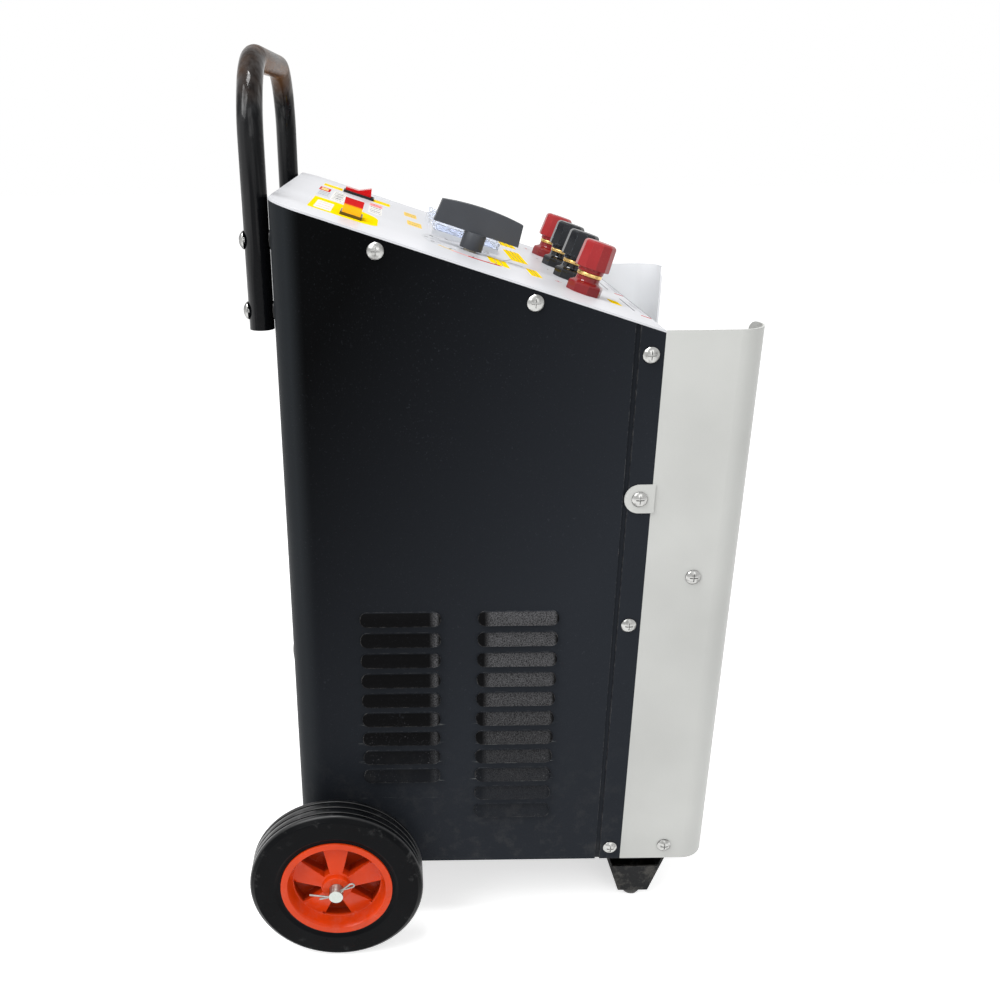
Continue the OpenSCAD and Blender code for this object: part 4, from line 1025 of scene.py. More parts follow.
class MeshPad:
    """Collects points and faces of one piece, with a finish for each face."""

    def __init__(self) -> None:
        """Starts empty."""
        self.points: list[Vector] = []
        self.faces: list[list[int]] = []
        self.marks: list[int] = []
        self.finishes: list[str] = []

    def finish(self, name: str) -> int:
        """Gives the slot number of a finish, adding it if it is new."""
        if name not in self.finishes:
            self.finishes.append(name)
        return self.finishes.index(name)

    def add(self, points: list[Vector], faces: list[list[int]], finish: str) -> None:
        """Adds points and the faces between them.

        Args:
            points: The new points, in metres.
            faces: Faces, by numbers within the new points.
            finish: The faces' finish.
        """
        base = len(self.points)
        self.points += [Vector(p) for p in points]
        self.faces += [[base + i for i in f] for f in faces]
        self.marks += [self.finish(finish)] * len(faces)

    def loops(self, rings: list[list[Vector]], finish: str) -> None:
        """Skins a row of closed rings with the same number of points, and fills the end ones.

        Args:
            rings: The rings, in order.
            finish: The skin's finish.
        """
        n = len(rings[0])
        points = [p for ring in rings for p in ring]
        faces = []
        for r in range(len(rings) - 1):
            for i in range(n):
                j = (i + 1) % n
                faces.append([r * n + i, r * n + j, (r + 1) * n + j, (r + 1) * n + i])
        faces.append(list(range(n))[::-1])
        faces.append([(len(rings) - 1) * n + i for i in range(n)])
        self.add(points, faces, finish)

    def piece(self, name: str, body: str, slot: str, smooth: float = 35.0) -> bpy.types.Object:
        """Turns the pad into an object on a CAD body.

        Args:
            name: The piece's name.
            body: The CAD body that carries it.
            slot: The record's material slot; not used.
            smooth: Edges flatter than this many degrees are smoothed.

        Returns:
            The object.
        """
        mesh = bpy.data.meshes.new(name)
        mesh.from_pydata(self.points, [], self.faces)
        mesh.validate()
        for finish in self.finishes:
            mesh.materials.append(PAINT.get(finish))
        work = bmesh.new()
        work.from_mesh(mesh)
        for face, mark in zip(work.faces, self.marks):
            face.material_index = mark
        bmesh.ops.remove_doubles(work, verts=work.verts, dist=1e-7)
        bmesh.ops.recalc_face_normals(work, faces=work.faces)
        for face in work.faces:
            face.smooth = True
        for edge in work.edges:
            if len(edge.link_faces) == 2 and edge.calc_face_angle(0.0) > math.radians(smooth):
                edge.smooth = False
        work.to_mesh(mesh)
        work.free()
        thing = hang(name, mesh)
        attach(thing, body)
        LOG.info("%s on %s: %d faces", name, body, len(mesh.polygons))
        return thing


def add_bevel(thing: bpy.types.Object, width: float, angle: float = 35.0) -> None:
    """Joins the split points of a CAD node, and rounds its sharp edges.

    Args:
        thing: The node's object.
        width: The bevel's width, in metres.
        angle: Edges sharper than this many degrees are rounded.
    """
    join = thing.modifiers.new("join_points", "WELD")
    join.merge_threshold = 1e-6
    cut = thing.modifiers.new("soft_edges", "BEVEL")
    cut.width = width
    cut.segments = 2
    cut.limit_method = "ANGLE"
    cut.angle_limit = math.radians(angle)
    cut.harden_normals = True
    cut.use_clamp_overlap = True


def sweep(path: list[Vector], radius: float, count: int = 8) -> list[list[Vector]]:
    """Carries a circle along a path.

    Args:
        path: The path's points, in metres.
        radius: The circle's radius, in metres.
        count: Points round each ring.

    Returns:
        One ring for each point of the path.
    """
    rings = []
    side = Vector((1, 0, 0))
    turns = [2 * math.pi * k / count for k in range(count)]
    for i, point in enumerate(path):
        ahead = (path[min(i + 1, len(path) - 1)] - path[max(i - 1, 0)]).normalized()
        side = (side - ahead * side.dot(ahead)).normalized()
        other = ahead.cross(side)
        spokes = [side * math.cos(turn) + other * math.sin(turn) for turn in turns]
        rings.append([point + spoke * radius for spoke in spokes])
    return rings


def smooth_path(points: list[Vector], steps: int = 6) -> list[Vector]:
    """Rounds a row of points with a Catmull-Rom curve.

    Args:
        points: The points to pass through.
        steps: New points between two of them.

    Returns:
        The curve's points.
    """
    out = []
    last = len(points) - 1
    for i in range(last):
        before, start, end, after = (points[max(0, min(last, i + k))] for k in (-1, 0, 1, 2))
        for k in range(steps):
            u = k / steps
            out.append(
                0.5 * (2 * start + (end - before) * u + (2 * before - 5 * start + 4 * end - after) * u**2)
                + 0.5 * (3 * start - before - 3 * end + after) * u**3
            )
    return out + [points[-1]]


@dataclass
class PanelPlane:
    """The sloping panel's directions: across from the side edge, down the slope, and out."""

    slope: float = math.radians(18.256)
    half_width: float = 175.0
    rear: float = 162.0
    top: float = 640.0

    def at(self, across: float, down: float, out: float = 0.0) -> Vector:
        """Gives a point of the panel, in metres.

        Args:
            across: Millimetres from the side edge.
            down: Millimetres down the slope from the rear edge.
            out: Millimetres out of the panel.

        Returns:
            The point in the row frame.
        """
        c, s = math.cos(self.slope), math.sin(self.slope)
        y, z = self.rear - down * c - out * s, self.top - down * s + out * c
        return Vector((across - self.half_width, y, z)) * MM

    def matrix(self, across: float, down: float, out: float = 0.0) -> Matrix:
        """Gives the placing matrix whose X is across, Y up the slope and Z out of the panel.

        Args:
            across: Millimetres from the side edge.
            down: Millimetres down the slope from the rear edge.
            out: Millimetres out of the panel.

        Returns:
            The matrix, in metres.
        """
        c, s = math.cos(self.slope), math.sin(self.slope)
        turn = Matrix(((1, 0, 0), (0, c, -s), (0, s, c))).to_4x4()
        return Matrix.Translation(self.at(across, down, out)) @ turn


PANEL = PanelPlane()


def dress(node: str, finish: str, bevel: float = 0.0) -> None:
    """Gives a CAD node its finish, and softens its edges.

    Args:
        node: The node's name.
        finish: The finish's name.
        bevel: Width of the softened edge in metres, or 0.
    """
    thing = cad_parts[node]
    material = PAINT.get(finish)
    if not thing.material_slots:
        thing.data.materials.append(material)
    for slot in thing.material_slots:
        slot.material = material
    if bevel:
        add_bevel(thing, bevel)
    LOG.info("%s dressed in %s", node, finish)


# ---------------------------------------------------------------- the studio


@dataclass
class Studio:
    """The camera, plain floor and soft lights."""

    camera_at: Point = (-0.912205, 0.072555, 0.695229)
    yaw: float = 0.00092
    pitch: float = 0.39219
    roll: float = -0.01283
    lens: float = 36.459
    shift: Pair = (0.10197, 0.03001)
    sky: float = 0.62
    floor_white: float = 0.6
    floor_half: float = 9.0
    aim: Point = (0.0, 0.0, 0.35)

    def build(self) -> None:
        """Builds the camera, the floor, the lights and the world."""
        self.camera()
        self.floor()
        self.lights()
        self.world()

    def camera(self) -> None:
        """Builds the camera and makes it the scene's."""
        data = bpy.data.cameras.new("camera")
        data.sensor_width = 36.0
        data.lens = self.lens
        data.shift_x, data.shift_y = self.shift
        data.clip_start, data.clip_end = 0.01, 50.0
        thing = hang("camera", data)
        cy, sy = math.cos(self.yaw), math.sin(self.yaw)
        cp, sp = math.cos(self.pitch), math.sin(self.pitch)
        cr, sr = math.cos(self.roll), math.sin(self.roll)
        ahead, right, up = Vector((cy, -sy, 0)), Vector((-sy, -cy, 0)), Vector((0, 0, 1))
        forward = cp * ahead - sp * up
        top = sp * ahead + cp * up
        x_axis = cr * right + sr * top
        y_axis = cr * top - sr * right
        turn = Matrix((x_axis, y_axis, -forward)).transposed().to_4x4()
        thing.matrix_world = Matrix.Translation(self.camera_at) @ turn
        bpy.context.scene.camera = thing

    def floor(self) -> None:
        """Builds the plain pale floor, which keeps the shadow and shows white."""
        mesh = bpy.data.meshes.new("floor")
        r = self.floor_half
        mesh.from_pydata([(-r, -r, 0), (r, -r, 0), (r, r, 0), (-r, r, 0)], [], [(0, 1, 2, 3)])
        thing = hang("floor", mesh)
        material = bpy.data.materials.new("floor_card")
        material.use_nodes = True
        b = Bench(material.node_tree)
        b.tree.nodes.clear()
        matt = b.add("BsdfDiffuse", Color=(0.86, 0.86, 0.86, 1.0))
        glow = b.add("Emission", Color=(1.0, 1.0, 1.0, 1.0))
        b.join(b.sum("MULTIPLY", seen_ray(b), self.floor_white), glow.inputs["Strength"])
        both = b.add("AddShader")
        b.join(matt.outputs[0], both.inputs[0])
        b.join(glow.outputs[0], both.inputs[1])
        b.join(both.outputs[0], b.add("OutputMaterial").inputs["Surface"])
        mesh.materials.append(material)

    def lights(self) -> None:
        """Hangs the soft lamps."""
        for name, at, size, power in (
            ("lamp_top", (-0.35, 0.25, 1.9), 0.45, 11.0),
            ("lamp_side", (-2.2, -0.6, 1.5), 1.4, 9.0),
            ("lamp_rear", (-1.1, 1.3, 1.9), 1.2, 26.0),
            ("lamp_front", (0.6, -2.3, 1.3), 1.4, 5.0),
        ):
            data = bpy.data.lights.new(name, "AREA")
            data.shape = "SQUARE"
            data.size = size
            data.energy = power
            thing = hang(name, data)
            thing.location = at
            thing.rotation_mode = "QUATERNION"
            thing.rotation_quaternion = (Vector(self.aim) - Vector(at)).to_track_quat("-Z", "Y")

    def world(self) -> None:
        """Builds the world: white where it is seen or mirrored, and a plain light elsewhere."""
        world = bpy.data.worlds.new("studio_air")
        bpy.context.scene.world = world
        world.use_nodes = True
        b = Bench(world.node_tree)
        b.tree.nodes.clear()
        light = b.add("Background", Color=(1.0, 1.0, 1.0, 1.0), Strength=self.sky)
        seen = b.add("Background", Color=(1.0, 1.0, 1.0, 1.0), Strength=1.0)
        both = b.add("MixShader")
        b.join(seen_ray(b), both.inputs[0])
        b.join(light.outputs[0], both.inputs[1])
        b.join(seen.outputs[0], both.inputs[2])
        b.join(both.outputs[0], b.add("OutputWorld").inputs["Surface"])


def seen_ray(bench: Bench) -> Socket:
    """Tells the rays that show a surface to the eye: straight, mirrored or through glass.

    Args:
        bench: The bench of a material or world.

    Returns:
        A value that is 1 for such rays.
    """
    out = bench.add("LightPath").outputs
    both = bench.sum("MAXIMUM", out["Is Camera Ray"], out["Is Glossy Ray"])
    return bench.sum("MAXIMUM", both, out["Is Transmission Ray"])


# ---------------------------------------------------------------- the charger


@dataclass
class Cabinet:
    """The sheet-steel cabinet and what is fixed to it."""

    shells: tuple[str, ...] = ("rear_shell", "front_frame", "base_pan")

    def build(self) -> None:
        """Dresses the cabinet."""
        for node in self.shells:
            dress(node, "black_cabinet_paint")
        dress("corner_posts", "galvanised_sheet")
        dress("control_panel", "white_panel_paint")
        dress("cabinet_screws", "screw_zinc", 0.0003)
        dress("mains_gland", "black_plastic", 0.0005)
        dress("wiring", "red_sleeve")


@dataclass
class ToolTray:
    """The pale tray on the front, with its two curved side wings."""

    def build(self) -> None:
        """Dresses the tray."""
        for node in ("tray_wing_left", "tray_floor", "tray_brace"):
            dress(node, "cream_tray_paint")
        # The far wing wears the lighter copy of the tray paint, as painted light.
        dress("tray_wing_right", "tray_paint_painted_light")
        dress("tray_screws", "screw_zinc", 0.0003)


@dataclass
class PushHandle:
    """The bent tube handle on the back."""

    def build(self) -> None:
        """Dresses the handle and its fixings."""
        dress("handle", "black_handle_paint")
        dress("handle_spacers", "black_plastic")
        dress("handle_screws", "screw_zinc", 0.0003)
        dress("handle_nuts", "zinc_plate", 0.0003)


@dataclass
class Running:
    """The axle, wheels and front foot."""

    pin_x: float = 227.0
    axle_y: float = 129.0
    axle_z: float = 75.0
    wire_r: float = 0.85
    sway: float = 0.9
    sway_pitch: float = 2.6
    wire: tuple[Pair, ...] = (
        (-23.0, -1.6), (-14.0, -2.6), (-7.0, -3.4), (-5.0, -2.4), (0.0, 0.7), (5.0, 4.0),
        (9.0, 7.4), (12.0, 9.6), (14.6, 9.8), (15.6, 8.0), (14.2, 6.0), (10.5, 4.6),
        (5.6, 2.6), (0.4, -0.8), (-5.0, -4.4), (-9.0, -5.4), (-14.5, -6.4),
    )

    def split_pins(self) -> None:
        """Builds both split pins as one bent wire each, through the ends of the axle."""
        pad = MeshPad()
        for side in (-1, 1):
            path = []
            for i, (ahead, up) in enumerate(self.wire):
                x = side * (self.pin_x + self.sway * math.sin(i / self.sway_pitch))
                path.append(Vector((x, self.axle_y - ahead, self.axle_z + up)) * MM)
            pad.loops(sweep(smooth_path(path), self.wire_r * MM), "pin_wire")
        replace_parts(pad.piece("split_pin_wires", "cabinet", "zinc", smooth=60), "split_pins")

    def build(self) -> None:
        """Dresses the running gear."""
        dress("axle", "axle_steel", 0.0004)
        dress("axle_brackets", "black_foot_paint", 0.0003)
        dress("axle_spacers", "zinc_plate", 0.0003)
        dress("axle_washers", "zinc_plate", 0.0003)
        self.split_pins()
        for side in ("left", "right"):
            dress(f"wheel_hub_{side}", "orange_hub_plastic", 0.0006)
            dress(f"tyre_{side}", "tyre_rubber", 0.0005)
        dress("front_foot", "black_foot_paint", 0.0003)
        dress("foot_pads", "black_rubber", 0.0006)
        dress("foot_bolts", "zinc_plate", 0.0003)


@dataclass
class Controls:
    """Knob, rocker switches, meters and terminals on the panel."""

    def build(self) -> None:
        """Dresses the controls."""
        dress("selector_knob", "grey_knob_plastic", 0.0007)
        dress("knob_insert", "black_plastic", 0.0003)
        dress("selector_shaft", "zinc_plate")
        dress("selector_switch", "switch_plastic", 0.0004)
        # The left bezel's olive colour is a painted reflection of the yellow print on black plastic.
        dress("rocker_bezel_left", "bezel_plastic_painted_reflection", 0.0004)
        dress("rocker_bezel_right", "black_plastic", 0.0004)
        dress("rocker_left", "rocker_plastic_painted_reflection", 0.0006)
        dress("rocker_right", "red_rocker_plastic", 0.0006)
        dress("meter_cases", "grey_meter_plastic", 0.0005)
        dress("meter_covers", "clear_cover", 0.0004)
        dress("meter_dials", "dial_card")
        dress("ammeter_needle", "black_ink")
        dress("voltmeter_needle", "black_ink")
        dress("terminal_studs", "brass_plate", 0.0003)
        for i in range(1, len(POSTS) + 1):
            dress(f"terminal_washer_{i}", "brass_plate", 0.0003)


@dataclass
class PowerStage:
    """The transformer and rectifier inside."""

    def build(self) -> None:
        """Dresses the power stage."""
        dress("transformer_core", "laminated_iron")
        dress("transformer_windings", "enamelled_copper")
        dress("transformer_frame", "galvanised_sheet", 0.0003)
        dress("transformer_bolts", "zinc_plate", 0.0003)
        dress("rectifier_plate", "pressed_aluminium", 0.0003)
        dress("rectifier_diodes", "brass_plate", 0.0003)


class Symbol:
    """Generic marks and numbers, as flat letters on the panel."""

    @staticmethod
    def write(
        pad: MeshPad, words: str, place: Matrix, size: float, finish: str, thick: float = 0.00008
    ) -> None:
        """Adds flat letters to a pad.

        Args:
            pad: The pad.
            words: What is written: a number or a generic mark.
            place: Where its middle goes; X runs along the words and Y up them.
            size: The letters' height in millimetres.
            finish: Their finish.
            thick: How far they stand out, in metres.
        """
        curve = bpy.data.curves.new("words", "FONT")
        curve.body = words
        curve.size = size * 1.4 * MM
        curve.align_x, curve.align_y = "CENTER", "CENTER"
        curve.resolution_u = 2
        curve.fill_mode = "FRONT"
        holder = hang("words", curve)
        bpy.context.view_layer.update()
        mesh = bpy.data.meshes.new_from_object(holder)
        points = [place @ (v.co + Vector((0, 0, thick))) for v in mesh.vertices]
        pad.add(points, [list(f.vertices) for f in mesh.polygons], finish)
        bpy.data.objects.remove(holder)
        bpy.data.curves.remove(curve)
        bpy.data.meshes.remove(mesh)


class Corner(Enum):
    """How a printed patch ends at its lower side."""

    SQUARE = "square"
    ROUND = "round"


@dataclass(frozen=True)
class Patch:
    """One printed patch on the panel: its edges across and down the slope, in millimetres."""

    left: float
    right: float
    rear: float
    front: float
    finish: str
    end: Corner = Corner.SQUARE
    lift: float = 0.08
    skew: float = 0.0
    corner: float = 1.5
    round_shares: Pair = (0.36, 0.2)

    def outline(self) -> list[Pair]:
        """Gives the patch's outline.

        Returns:
            Points across and down the panel.
        """
        wide = self.right - self.left
        corner = min(self.corner, wide / 4, (self.front - self.rear) / 4)
        far, near = corner, corner
        if self.end is Corner.ROUND:
            far, near = (wide * share for share in self.round_shares)
        points = []
        for x, y, r, start in (
            (self.right, self.front, far, 0.0),
            (self.left, self.front, near, 90.0),
            (self.left, self.rear, corner, 180.0),
            (self.right, self.rear, corner, 270.0),
        ):
            cx = x - r if start in (0.0, 270.0) else x + r
            cy = y - r if start in (0.0, 90.0) else y + r
            for k in range(7):
                angle = math.radians(start + 15 * k)
                px, py = cx + r * math.cos(angle), cy + r * math.sin(angle)
                points.append((px + self.skew * (py - self.rear), py))
        return points


@dataclass
class PanelPrint:
    """The printed panel: patches, scales, lines and generic marks."""

    knob: Pair = (104.0, 159.0)
    scale_r: float = 40.0
    tick: Pair = (35.5, 39.0)
    numbers_r: float = 31.5
    mark_right: float = 22.0
    mark_down: float = 234.0
    patches: tuple[Patch, ...] = (
        Patch(49, 141, 27, 81.5, "yellow_ink", Corner.ROUND),
        Patch(58, 118, 31, 44.5, "white_label", lift=0.14),
        Patch(212, 246, 25, 35, "red_ink"),
        Patch(218, 240, 27, 33, "amber_ink", lift=0.14),
        Patch(160, 208, 26, 37, "pale_grey_ink"),
        Patch(152, 243, 38.5, 50, "white_label"),
        Patch(216, 243, 72, 84, "pink_ink"),
        Patch(150, 214, 72, 84, "white_label"),
        Patch(268, 292, 26, 44, "yellow_ink"),
        Patch(262, 290, 74, 91, "yellow_ink"),
        Patch(228, 264, 105, 117, "amber_ink"),
        Patch(156, 192, 107, 120, "amber_ink"),
        Patch(72, 112, 174, 190, "yellow_ink", skew=-0.2),
        Patch(250, 286, 198, 217, "yellow_ink", skew=0.2),
        Patch(140, 216, 199, 215, "yellow_ink", skew=0.4),
        Patch(72, 113, 208, 218, "yellow_ink", skew=0.4),
        Patch(64, 84, 273.5, 283, "yellow_ink"),
    )

    def build(self) -> None:
        """Prints everything on the panel."""
        pad = MeshPad()
        for patch in self.patches:
            self.slab(pad, patch.outline(), patch.finish, patch.lift)
        self.small_print(pad)
        self.selector_scale(pad)
        self.terminal_marks(pad)
        self.front_marks(pad)
        pad.piece("panel_print", "cabinet", "panel_white")

    @staticmethod
    def slab(pad: MeshPad, outline: list[Pair], finish: str, lift: float = 0.08) -> None:
        """Adds a thin flat label to a pad.

        Args:
            pad: The pad.
            outline: Points across and down the panel.
            finish: The label's finish.
            lift: Its thickness in millimetres.
        """
        top = [PANEL.at(a, s, lift) for a, s in outline]
        low = [PANEL.at(a, s, -0.02) for a, s in outline]
        pad.loops([low, top], finish)

    def stroke(
        self, pad: MeshPad, start: Pair, end: Pair, width: float, finish: str, lift: float = 0.18
    ) -> None:
        """Adds a straight printed line.

        Args:
            pad: The pad.
            start: Where it starts, across and down.
            end: Where it ends.
            width: Its width in millimetres.
            finish: Its finish.
            lift: Its thickness in millimetres.
        """
        a, b = Vector(start), Vector(end)
        run = b - a
        side = Vector((-run.y, run.x)).normalized() * width / 2
        corners = [tuple(p) for p in (a + side, b + side, b - side, a - side)]
        self.slab(pad, corners, finish, lift)

    def small_print(self, pad: MeshPad) -> None:
        """Adds rows of short dashes and simple line figures, too small to be words.

        Args:
            pad: The pad.
        """
        pick = random.Random(7)
        down = (
            (61, 115, 32.5, 43, 3, "pink_ink"),
            (165, 205, 27, 36, 3, "grey_ink"),
            (214, 244, 26, 34, 2, "white_label"),
            (155, 240, 39.5, 49, 6, "grey_ink"),
            (153, 212, 73.5, 83, 4, "grey_ink"),
            (218, 241, 73.5, 83, 2, "red_ink"),
            (231, 261, 106.5, 115.5, 2, "grey_ink"),
            (159, 189, 108.5, 118.5, 2, "grey_ink"),
            (265, 290, 28, 42, 1, "amber_ink"),
            (265, 288, 76, 89, 1, "amber_ink"),
        )
        for left, right, rear, front, count, finish in down:
            for k in range(count):
                a = left + (k + 0.5) * (right - left) / count
                self.dashes(pad, pick, (rear, front), (0.6, 2.4), lambda s, a=a: (a, s), 2.2, finish)
        across = (
            (148, 220, 201, 213, 3, "black_ink"),
            (254, 286, 200, 215, 3, "black_ink"),
            (76, 106, 177, 187, 2, "grey_ink"),
            (78, 112, 210, 216, 2, "black_ink"),
        )
        for left, right, rear, front, count, finish in across:
            for k in range(count):
                s = rear + (k + 0.5) * (front - rear) / count
                self.dashes(pad, pick, (left, right), (2.0, 6.5), lambda a, s=s: (a, s), 0.7, finish)
        for a in (176, 198, 220):
            self.ring(pad, (a, 44.5), (3.2, 2.6), (-180, 180), "grey_ink", 0.2)
        for a in (172, 190, 208):
            self.stroke(pad, (a, 73), (a, 83), 0.6, "grey_ink")

    def dashes(
        self,
        pad: MeshPad,
        pick: random.Random,
        reach: Pair,
        lengths: Pair,
        spot: Callable[[float], Pair],
        width: float,
        finish: str,
    ) -> None:
        """Adds one row of short dashes.

        Args:
            pad: The pad.
            pick: Where the lengths come from.
            reach: Where the row starts and ends.
            lengths: The shortest and longest dash.
            spot: Gives a point across and down the panel from one along the row.
            width: The dashes' width in millimetres.
            finish: Their finish.
        """
        at = reach[0]
        while at < reach[1] - lengths[0]:
            long = pick.uniform(*lengths)
            self.stroke(pad, spot(at), spot(min(at + long, reach[1])), width, finish, 0.2)
            at += long + pick.uniform(0.5, 1.0) * lengths[0]

    def ring(
        self, pad: MeshPad, middle: Pair, radii: Pair, angles: Pair, finish: str, lift: float = 0.1
    ) -> None:
        """Adds an arc band, its angles counted clockwise from straight up the slope.

        Args:
            pad: The pad.
            middle: The arc's middle, across and down.
            radii: Outer and inner radius in millimetres.
            angles: Where it starts and ends, in degrees.
            finish: The band's finish.
            lift: Its thickness in millimetres.
        """
        (outer, inner), (start, end) = radii, angles
        steps = max(6, int(abs(end - start) / 6))
        for k in range(steps):
            corners = []
            for step, radius in ((k, outer), (k + 1, outer), (k + 1, inner), (k, inner)):
                turn = math.radians(start + (end - start) * step / steps)
                across, up = radius * math.sin(turn), radius * math.cos(turn)
                corners.append((middle[0] + across, middle[1] - up))
            self.slab(pad, corners, finish, lift)

    def selector_scale(self, pad: MeshPad) -> None:
        """Prints the knob's scale: a thin line that thickens to a red end, with ticks and numbers.

        Args:
            pad: The pad.
        """
        r = self.scale_r
        self.ring(pad, self.knob, (r + 0.6, r - 0.2), (-28, 122), "pale_grey_ink")
        for start, end, wide, finish in (
            (-28, -48, 1.6, "pale_grey_ink"),
            (-48, -66, 2.6, "amber_ink"),
            (-66, -84, 3.6, "pink_ink"),
            (-84, -122, 4.6, "red_ink"),
        ):
            self.ring(pad, self.knob, (r + wide, r), (start, end), finish)
        middle = Vector(self.knob)
        for k in range(9):
            turn = math.radians(-120 + 30 * k)
            ahead = Vector((math.sin(turn), -math.cos(turn)))
            low, high = (tuple(middle + ahead * reach) for reach in self.tick)
            self.stroke(pad, low, high, 0.8, "black_ink")
            spot = middle + ahead * self.numbers_r
            Symbol.write(pad, str(k), PANEL.matrix(spot.x, spot.y, 0.02), 4.2, "black_ink")

    def terminal_marks(self, pad: MeshPad) -> None:
        """Prints the marks beside the terminals.

        Args:
            pad: The pad.
        """
        for a, mark in zip(POSTS, "+--+"):
            finish = "red_ink" if mark == "+" else "black_ink"
            place = PANEL.matrix(a + self.mark_right, self.mark_down, 0.06)
            Symbol.write(pad, mark, place, 9, finish)
        self.stroke(pad, (112, 193), (118, 206), 0.7, "grey_ink", 0.1)
        self.stroke(pad, (98, 184), (146, 200), 0.7, "grey_ink", 0.1)

    def front_marks(self, pad: MeshPad) -> None:
        """Prints the lines and small marks along the panel's front edge.

        Args:
            pad: The pad.
        """
        for left, right, s, wide, finish in (
            (60, 115, 292, 1.3, "grey_ink"),
            (161, 216, 291, 1.1, "grey_ink"),
            (262, 306, 291, 1.1, "grey_ink"),
            (44, 306, 303, 0.6, "grey_ink"),
            (60, 110, 296, 0.4, "pale_grey_ink"),
        ):
            self.stroke(pad, (left, s), (right, s), wide, finish, 0.12)
        for across in (44, 146, 248):
            self.stroke(pad, (across, 294), (across - 1, 302), 2.4, "red_ink", 0.14)
        pick = random.Random(11)
        for left in (52, 154):
            for s in (298, 300.5):
                row = (left, left + 56)
                self.dashes(pad, pick, row, (1.0, 2.6), lambda a, s=s: (a, s), 0.9, "pale_grey_ink")


@dataclass
class MeterFaces:
    """The printed scales behind the meters' clear covers."""

    middles: Pair = (175.0, 267.0)
    down: float = 157.0
    pivot: float = 17.0
    card: float = 4.6
    arc: float = 30.5
    numbers: float = 37.5
    ink: float = 0.00005

    def build(self) -> None:
        """Prints both meters' scales."""
        meters = zip(self.middles, ("ammeter", "voltmeter"), "AV", (50, 30))
        for middle, name, unit, top in meters:
            pad = MeshPad()
            self.scale(pad, middle, unit, top)
            pad.piece(f"{name}_scale", "cabinet", "dial_white")

    def scale(self, pad: MeshPad, across: float, unit: str, top: int) -> None:
        """Prints one scale.

        Args:
            pad: The pad.
            across: The meter's middle, in millimetres across the panel.
            unit: The unit's letter.
            top: The scale's last number.
        """
        s = self.down + self.pivot
        centre = PANEL.matrix(across, s, self.card)
        for k in range(21):
            place = centre @ Matrix.Rotation(math.radians(45 - 4.5 * k), 4, "Z")
            long = 4.0 if k % 4 == 0 else 2.2
            self.bar(pad, place, 0.45, self.arc, self.arc + long, "black_ink")
            if k % 4 == 0:
                spot = place @ Matrix.Translation((0, self.numbers * MM, 0))
                Symbol.write(pad, str(top * k // 20), spot, 3.2, "black_ink", self.ink)
        for k in range(30):
            place = centre @ Matrix.Rotation(math.radians(44 - 3 * k), 4, "Z")
            self.bar(pad, place, 1.8, self.arc - 0.6, self.arc, "red_ink" if k > 23 else "black_ink")
        Symbol.write(pad, unit, PANEL.matrix(across, s - 14, self.card), 5.5, "black_ink", self.ink)

    @staticmethod
    def bar(pad: MeshPad, place: Matrix, width: float, low: float, high: float, finish: str) -> None:
        """Adds a short bar along a placing matrix's Y.

        Args:
            pad: The pad.
            place: Where it goes.
            width: Its width in millimetres.
            low: Where it starts along Y, in millimetres.
            high: Where it ends.
            finish: Its finish.
        """
        corners = [(-width / 2, low), (width / 2, low), (width / 2, high), (-width / 2, high)]
        rings = [[place @ (Vector((x, y, z)) * MM) for x, y in corners] for z in (-0.01, 0.05)]
        pad.loops(rings, finish)


@dataclass
class BindingPost:
    """A screw terminal's moulded parts: the cap with ten flats and the faceted base."""

    number: int
    across: float
    finish: str
    slot: str
    down: float = 250.5
    cap_low: float = 16.2
    collar: float = 3.2
    cap_top: float = 40.0
    base_top: float = 13.2
    bore: float = 4.2
    cap_sides: int = 10
    base_sides: int = 8
    per_side: int = 6

    def ring(self, radius: float, height: float, flat: float, sides: int) -> list[Vector]:
        """Gives a ring between a circle and a polygon.

        Args:
            radius: The ring's outer radius in millimetres.
            height: Its height above the panel in millimetres.
            flat: 0 for a circle, 1 for a polygon.
            sides: The polygon's sides.

        Returns:
            The ring's points.
        """
        place = PANEL.matrix(self.across, self.down)
        points = []
        for i in range(sides * self.per_side):
            angle = 2 * math.pi * i / (sides * self.per_side)
            part = (angle % (2 * math.pi / sides)) - math.pi / sides
            r = radius * (1 - flat + flat * math.cos(math.pi / sides) / math.cos(part))
            points.append(place @ (Vector((r * math.cos(angle), r * math.sin(angle), height)) * MM))
        return points

    def cap(self) -> None:
        """Builds the cap, which turns and lifts."""
        low, skirt, top = self.cap_low, self.cap_low + self.collar, self.cap_top
        outline = (
            (self.bore, low, 0.0),
            (9.8, low, 0.0),
            (10.3, low + 0.5, 0.0),
            (10.4, skirt - 0.4, 0.0),
            (13.4, skirt, 1.0),
            (13.8, skirt + 0.7, 1.0),
            (12.9, top - 2.4, 1.0),
            (12.5, top - 1.3, 0.9),
            (11.2, top - 0.2, 0.8),
            (10.6, top, 0.6),
            (6.0, top - 0.4, 0.0),
            (self.bore, top - 0.7, 0.0),
        )
        pad = MeshPad()
        pad.loops([self.ring(r, h, f, self.cap_sides) for r, h, f in outline], self.finish)
        node = f"terminal_cap_{self.number}"
        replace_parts(pad.piece(f"post_cap_{self.number}", node, self.slot, smooth=24), node)

    def base(self, pad: MeshPad) -> None:
        """Adds the base to a pad.

        Args:
            pad: The pad of the bases of this colour.
        """
        outline = (
            (self.bore, 0.02, 0.0),
            (14.0, 0.02, 0.8),
            (14.2, 0.6, 0.9),
            (14.2, 6.4, 0.9),
            (13.6, 7.6, 0.9),
            (11.4, 8.8, 0.6),
            (10.2, 9.3, 0.2),
            (9.6, 10.0, 0.0),
            (9.4, self.base_top - 0.5, 0.0),
            (9.0, self.base_top, 0.0),
            (self.bore, self.base_top, 0.0),
        )
        rings = [self.ring(r, h, f, self.base_sides) for r, h, f in outline]
        pad.loops(rings, self.finish.replace("post", "base"))


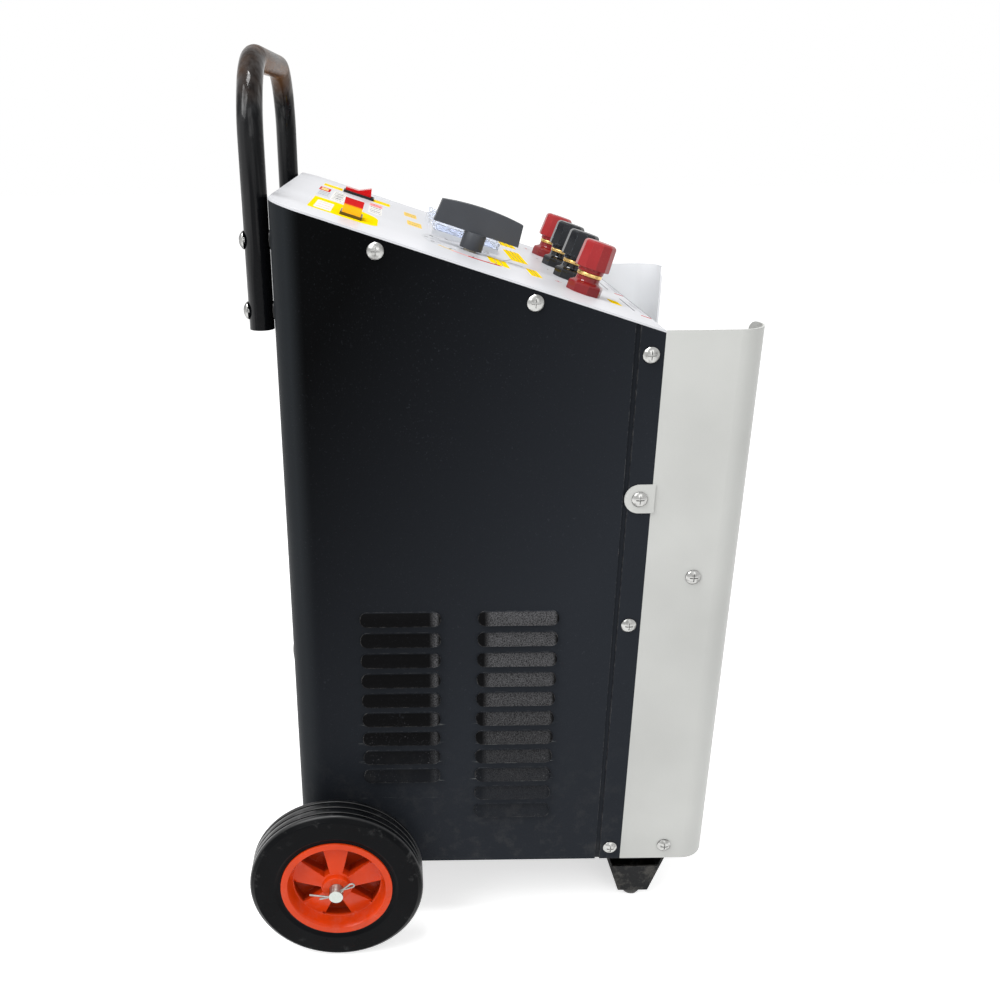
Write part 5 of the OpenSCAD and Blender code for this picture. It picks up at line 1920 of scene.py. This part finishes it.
@dataclass
class Terminals:
    """The row of four screw terminals."""

    def build(self) -> None:
        """Builds the four terminals' moulded parts."""
        for colour, numbers in (("red", (1, 4)), ("black", (2, 3))):
            pad = MeshPad()
            for n in numbers:
                post = BindingPost(n, POSTS[n - 1], f"{colour}_post_plastic", f"terminal_{colour}")
                post.cap()
                post.base(pad)
            piece = pad.piece(f"post_bases_{colour}", "cabinet", f"terminal_{colour}", smooth=24)
            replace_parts(piece, f"terminal_bases_{colour}")


@dataclass
class RockerMarks:
    """The generic on and off marks, sunk in the two halves of each rocker's top."""

    size: float = 5.0

    def build(self) -> None:
        """Marks both rockers."""
        for side in ("left", "right"):
            pad = MeshPad()
            for (middle, normal), mark in zip(self.halves(f"rocker_{side}"), "IO"):
                Symbol.write(pad, mark, self.place(middle, normal), self.size, "white_label", 0.00012)
            pad.piece(f"rocker_marks_{side}", f"rocker_{side}", "dial_white")

    @staticmethod
    def halves(node: str) -> list[tuple[Vector, Vector]]:
        """Finds the two top faces of a rocker.

        Args:
            node: The rocker's node.

        Returns:
            Middle and normal of each, the one further up the slope or across first.
        """
        up = (PANEL.at(0, 0, 1) - PANEL.at(0, 0)).normalized()
        found: dict[Point, list[tuple[float, Vector, Vector]]] = {}
        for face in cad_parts[node].data.polygons:
            if face.normal.dot(up) > 0.75:
                key = tuple(round(c, 1) for c in face.normal)
                found.setdefault(key, []).append((face.area, face.center.copy(), face.normal.copy()))
        groups = sorted(found.values(), key=lambda g: -sum(f[0] for f in g))[:2]
        halves = []
        for group in groups:
            area = sum(f[0] for f in group)
            middle = sum((f[0] * f[1] for f in group), Vector()) / area
            halves.append((middle, group[0][2]))
        return sorted(halves, key=lambda h: -(h[0].x + h[0].y))

    @staticmethod
    def place(middle: Vector, normal: Vector) -> Matrix:
        """Gives the placing matrix on a face, with Y up the panel's slope.

        Args:
            middle: The face's middle.
            normal: Its normal.

        Returns:
            The matrix.
        """
        up = (PANEL.at(0, -1) - PANEL.at(0, 0)).normalized()
        right = up.cross(normal).normalized()
        turn = Matrix((right, normal.cross(right), normal)).transposed().to_4x4()
        return Matrix.Translation(middle) @ turn


def main() -> None:
    """Builds the studio and dresses the charger, part by part."""
    logging.basicConfig(level=logging.INFO, format="%(message)s")
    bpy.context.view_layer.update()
    bpy.context.scene.view_settings.view_transform = "Standard"
    for part in (
        Studio(),
        Cabinet(),
        ToolTray(),
        PushHandle(),
        Running(),
        Controls(),
        Terminals(),
        RockerMarks(),
        PanelPrint(),
        MeterFaces(),
        PowerStage(),
    ):
        part.build()
        LOG.info("%s ready", type(part).__name__)


if __name__ == "__main__":
    main()
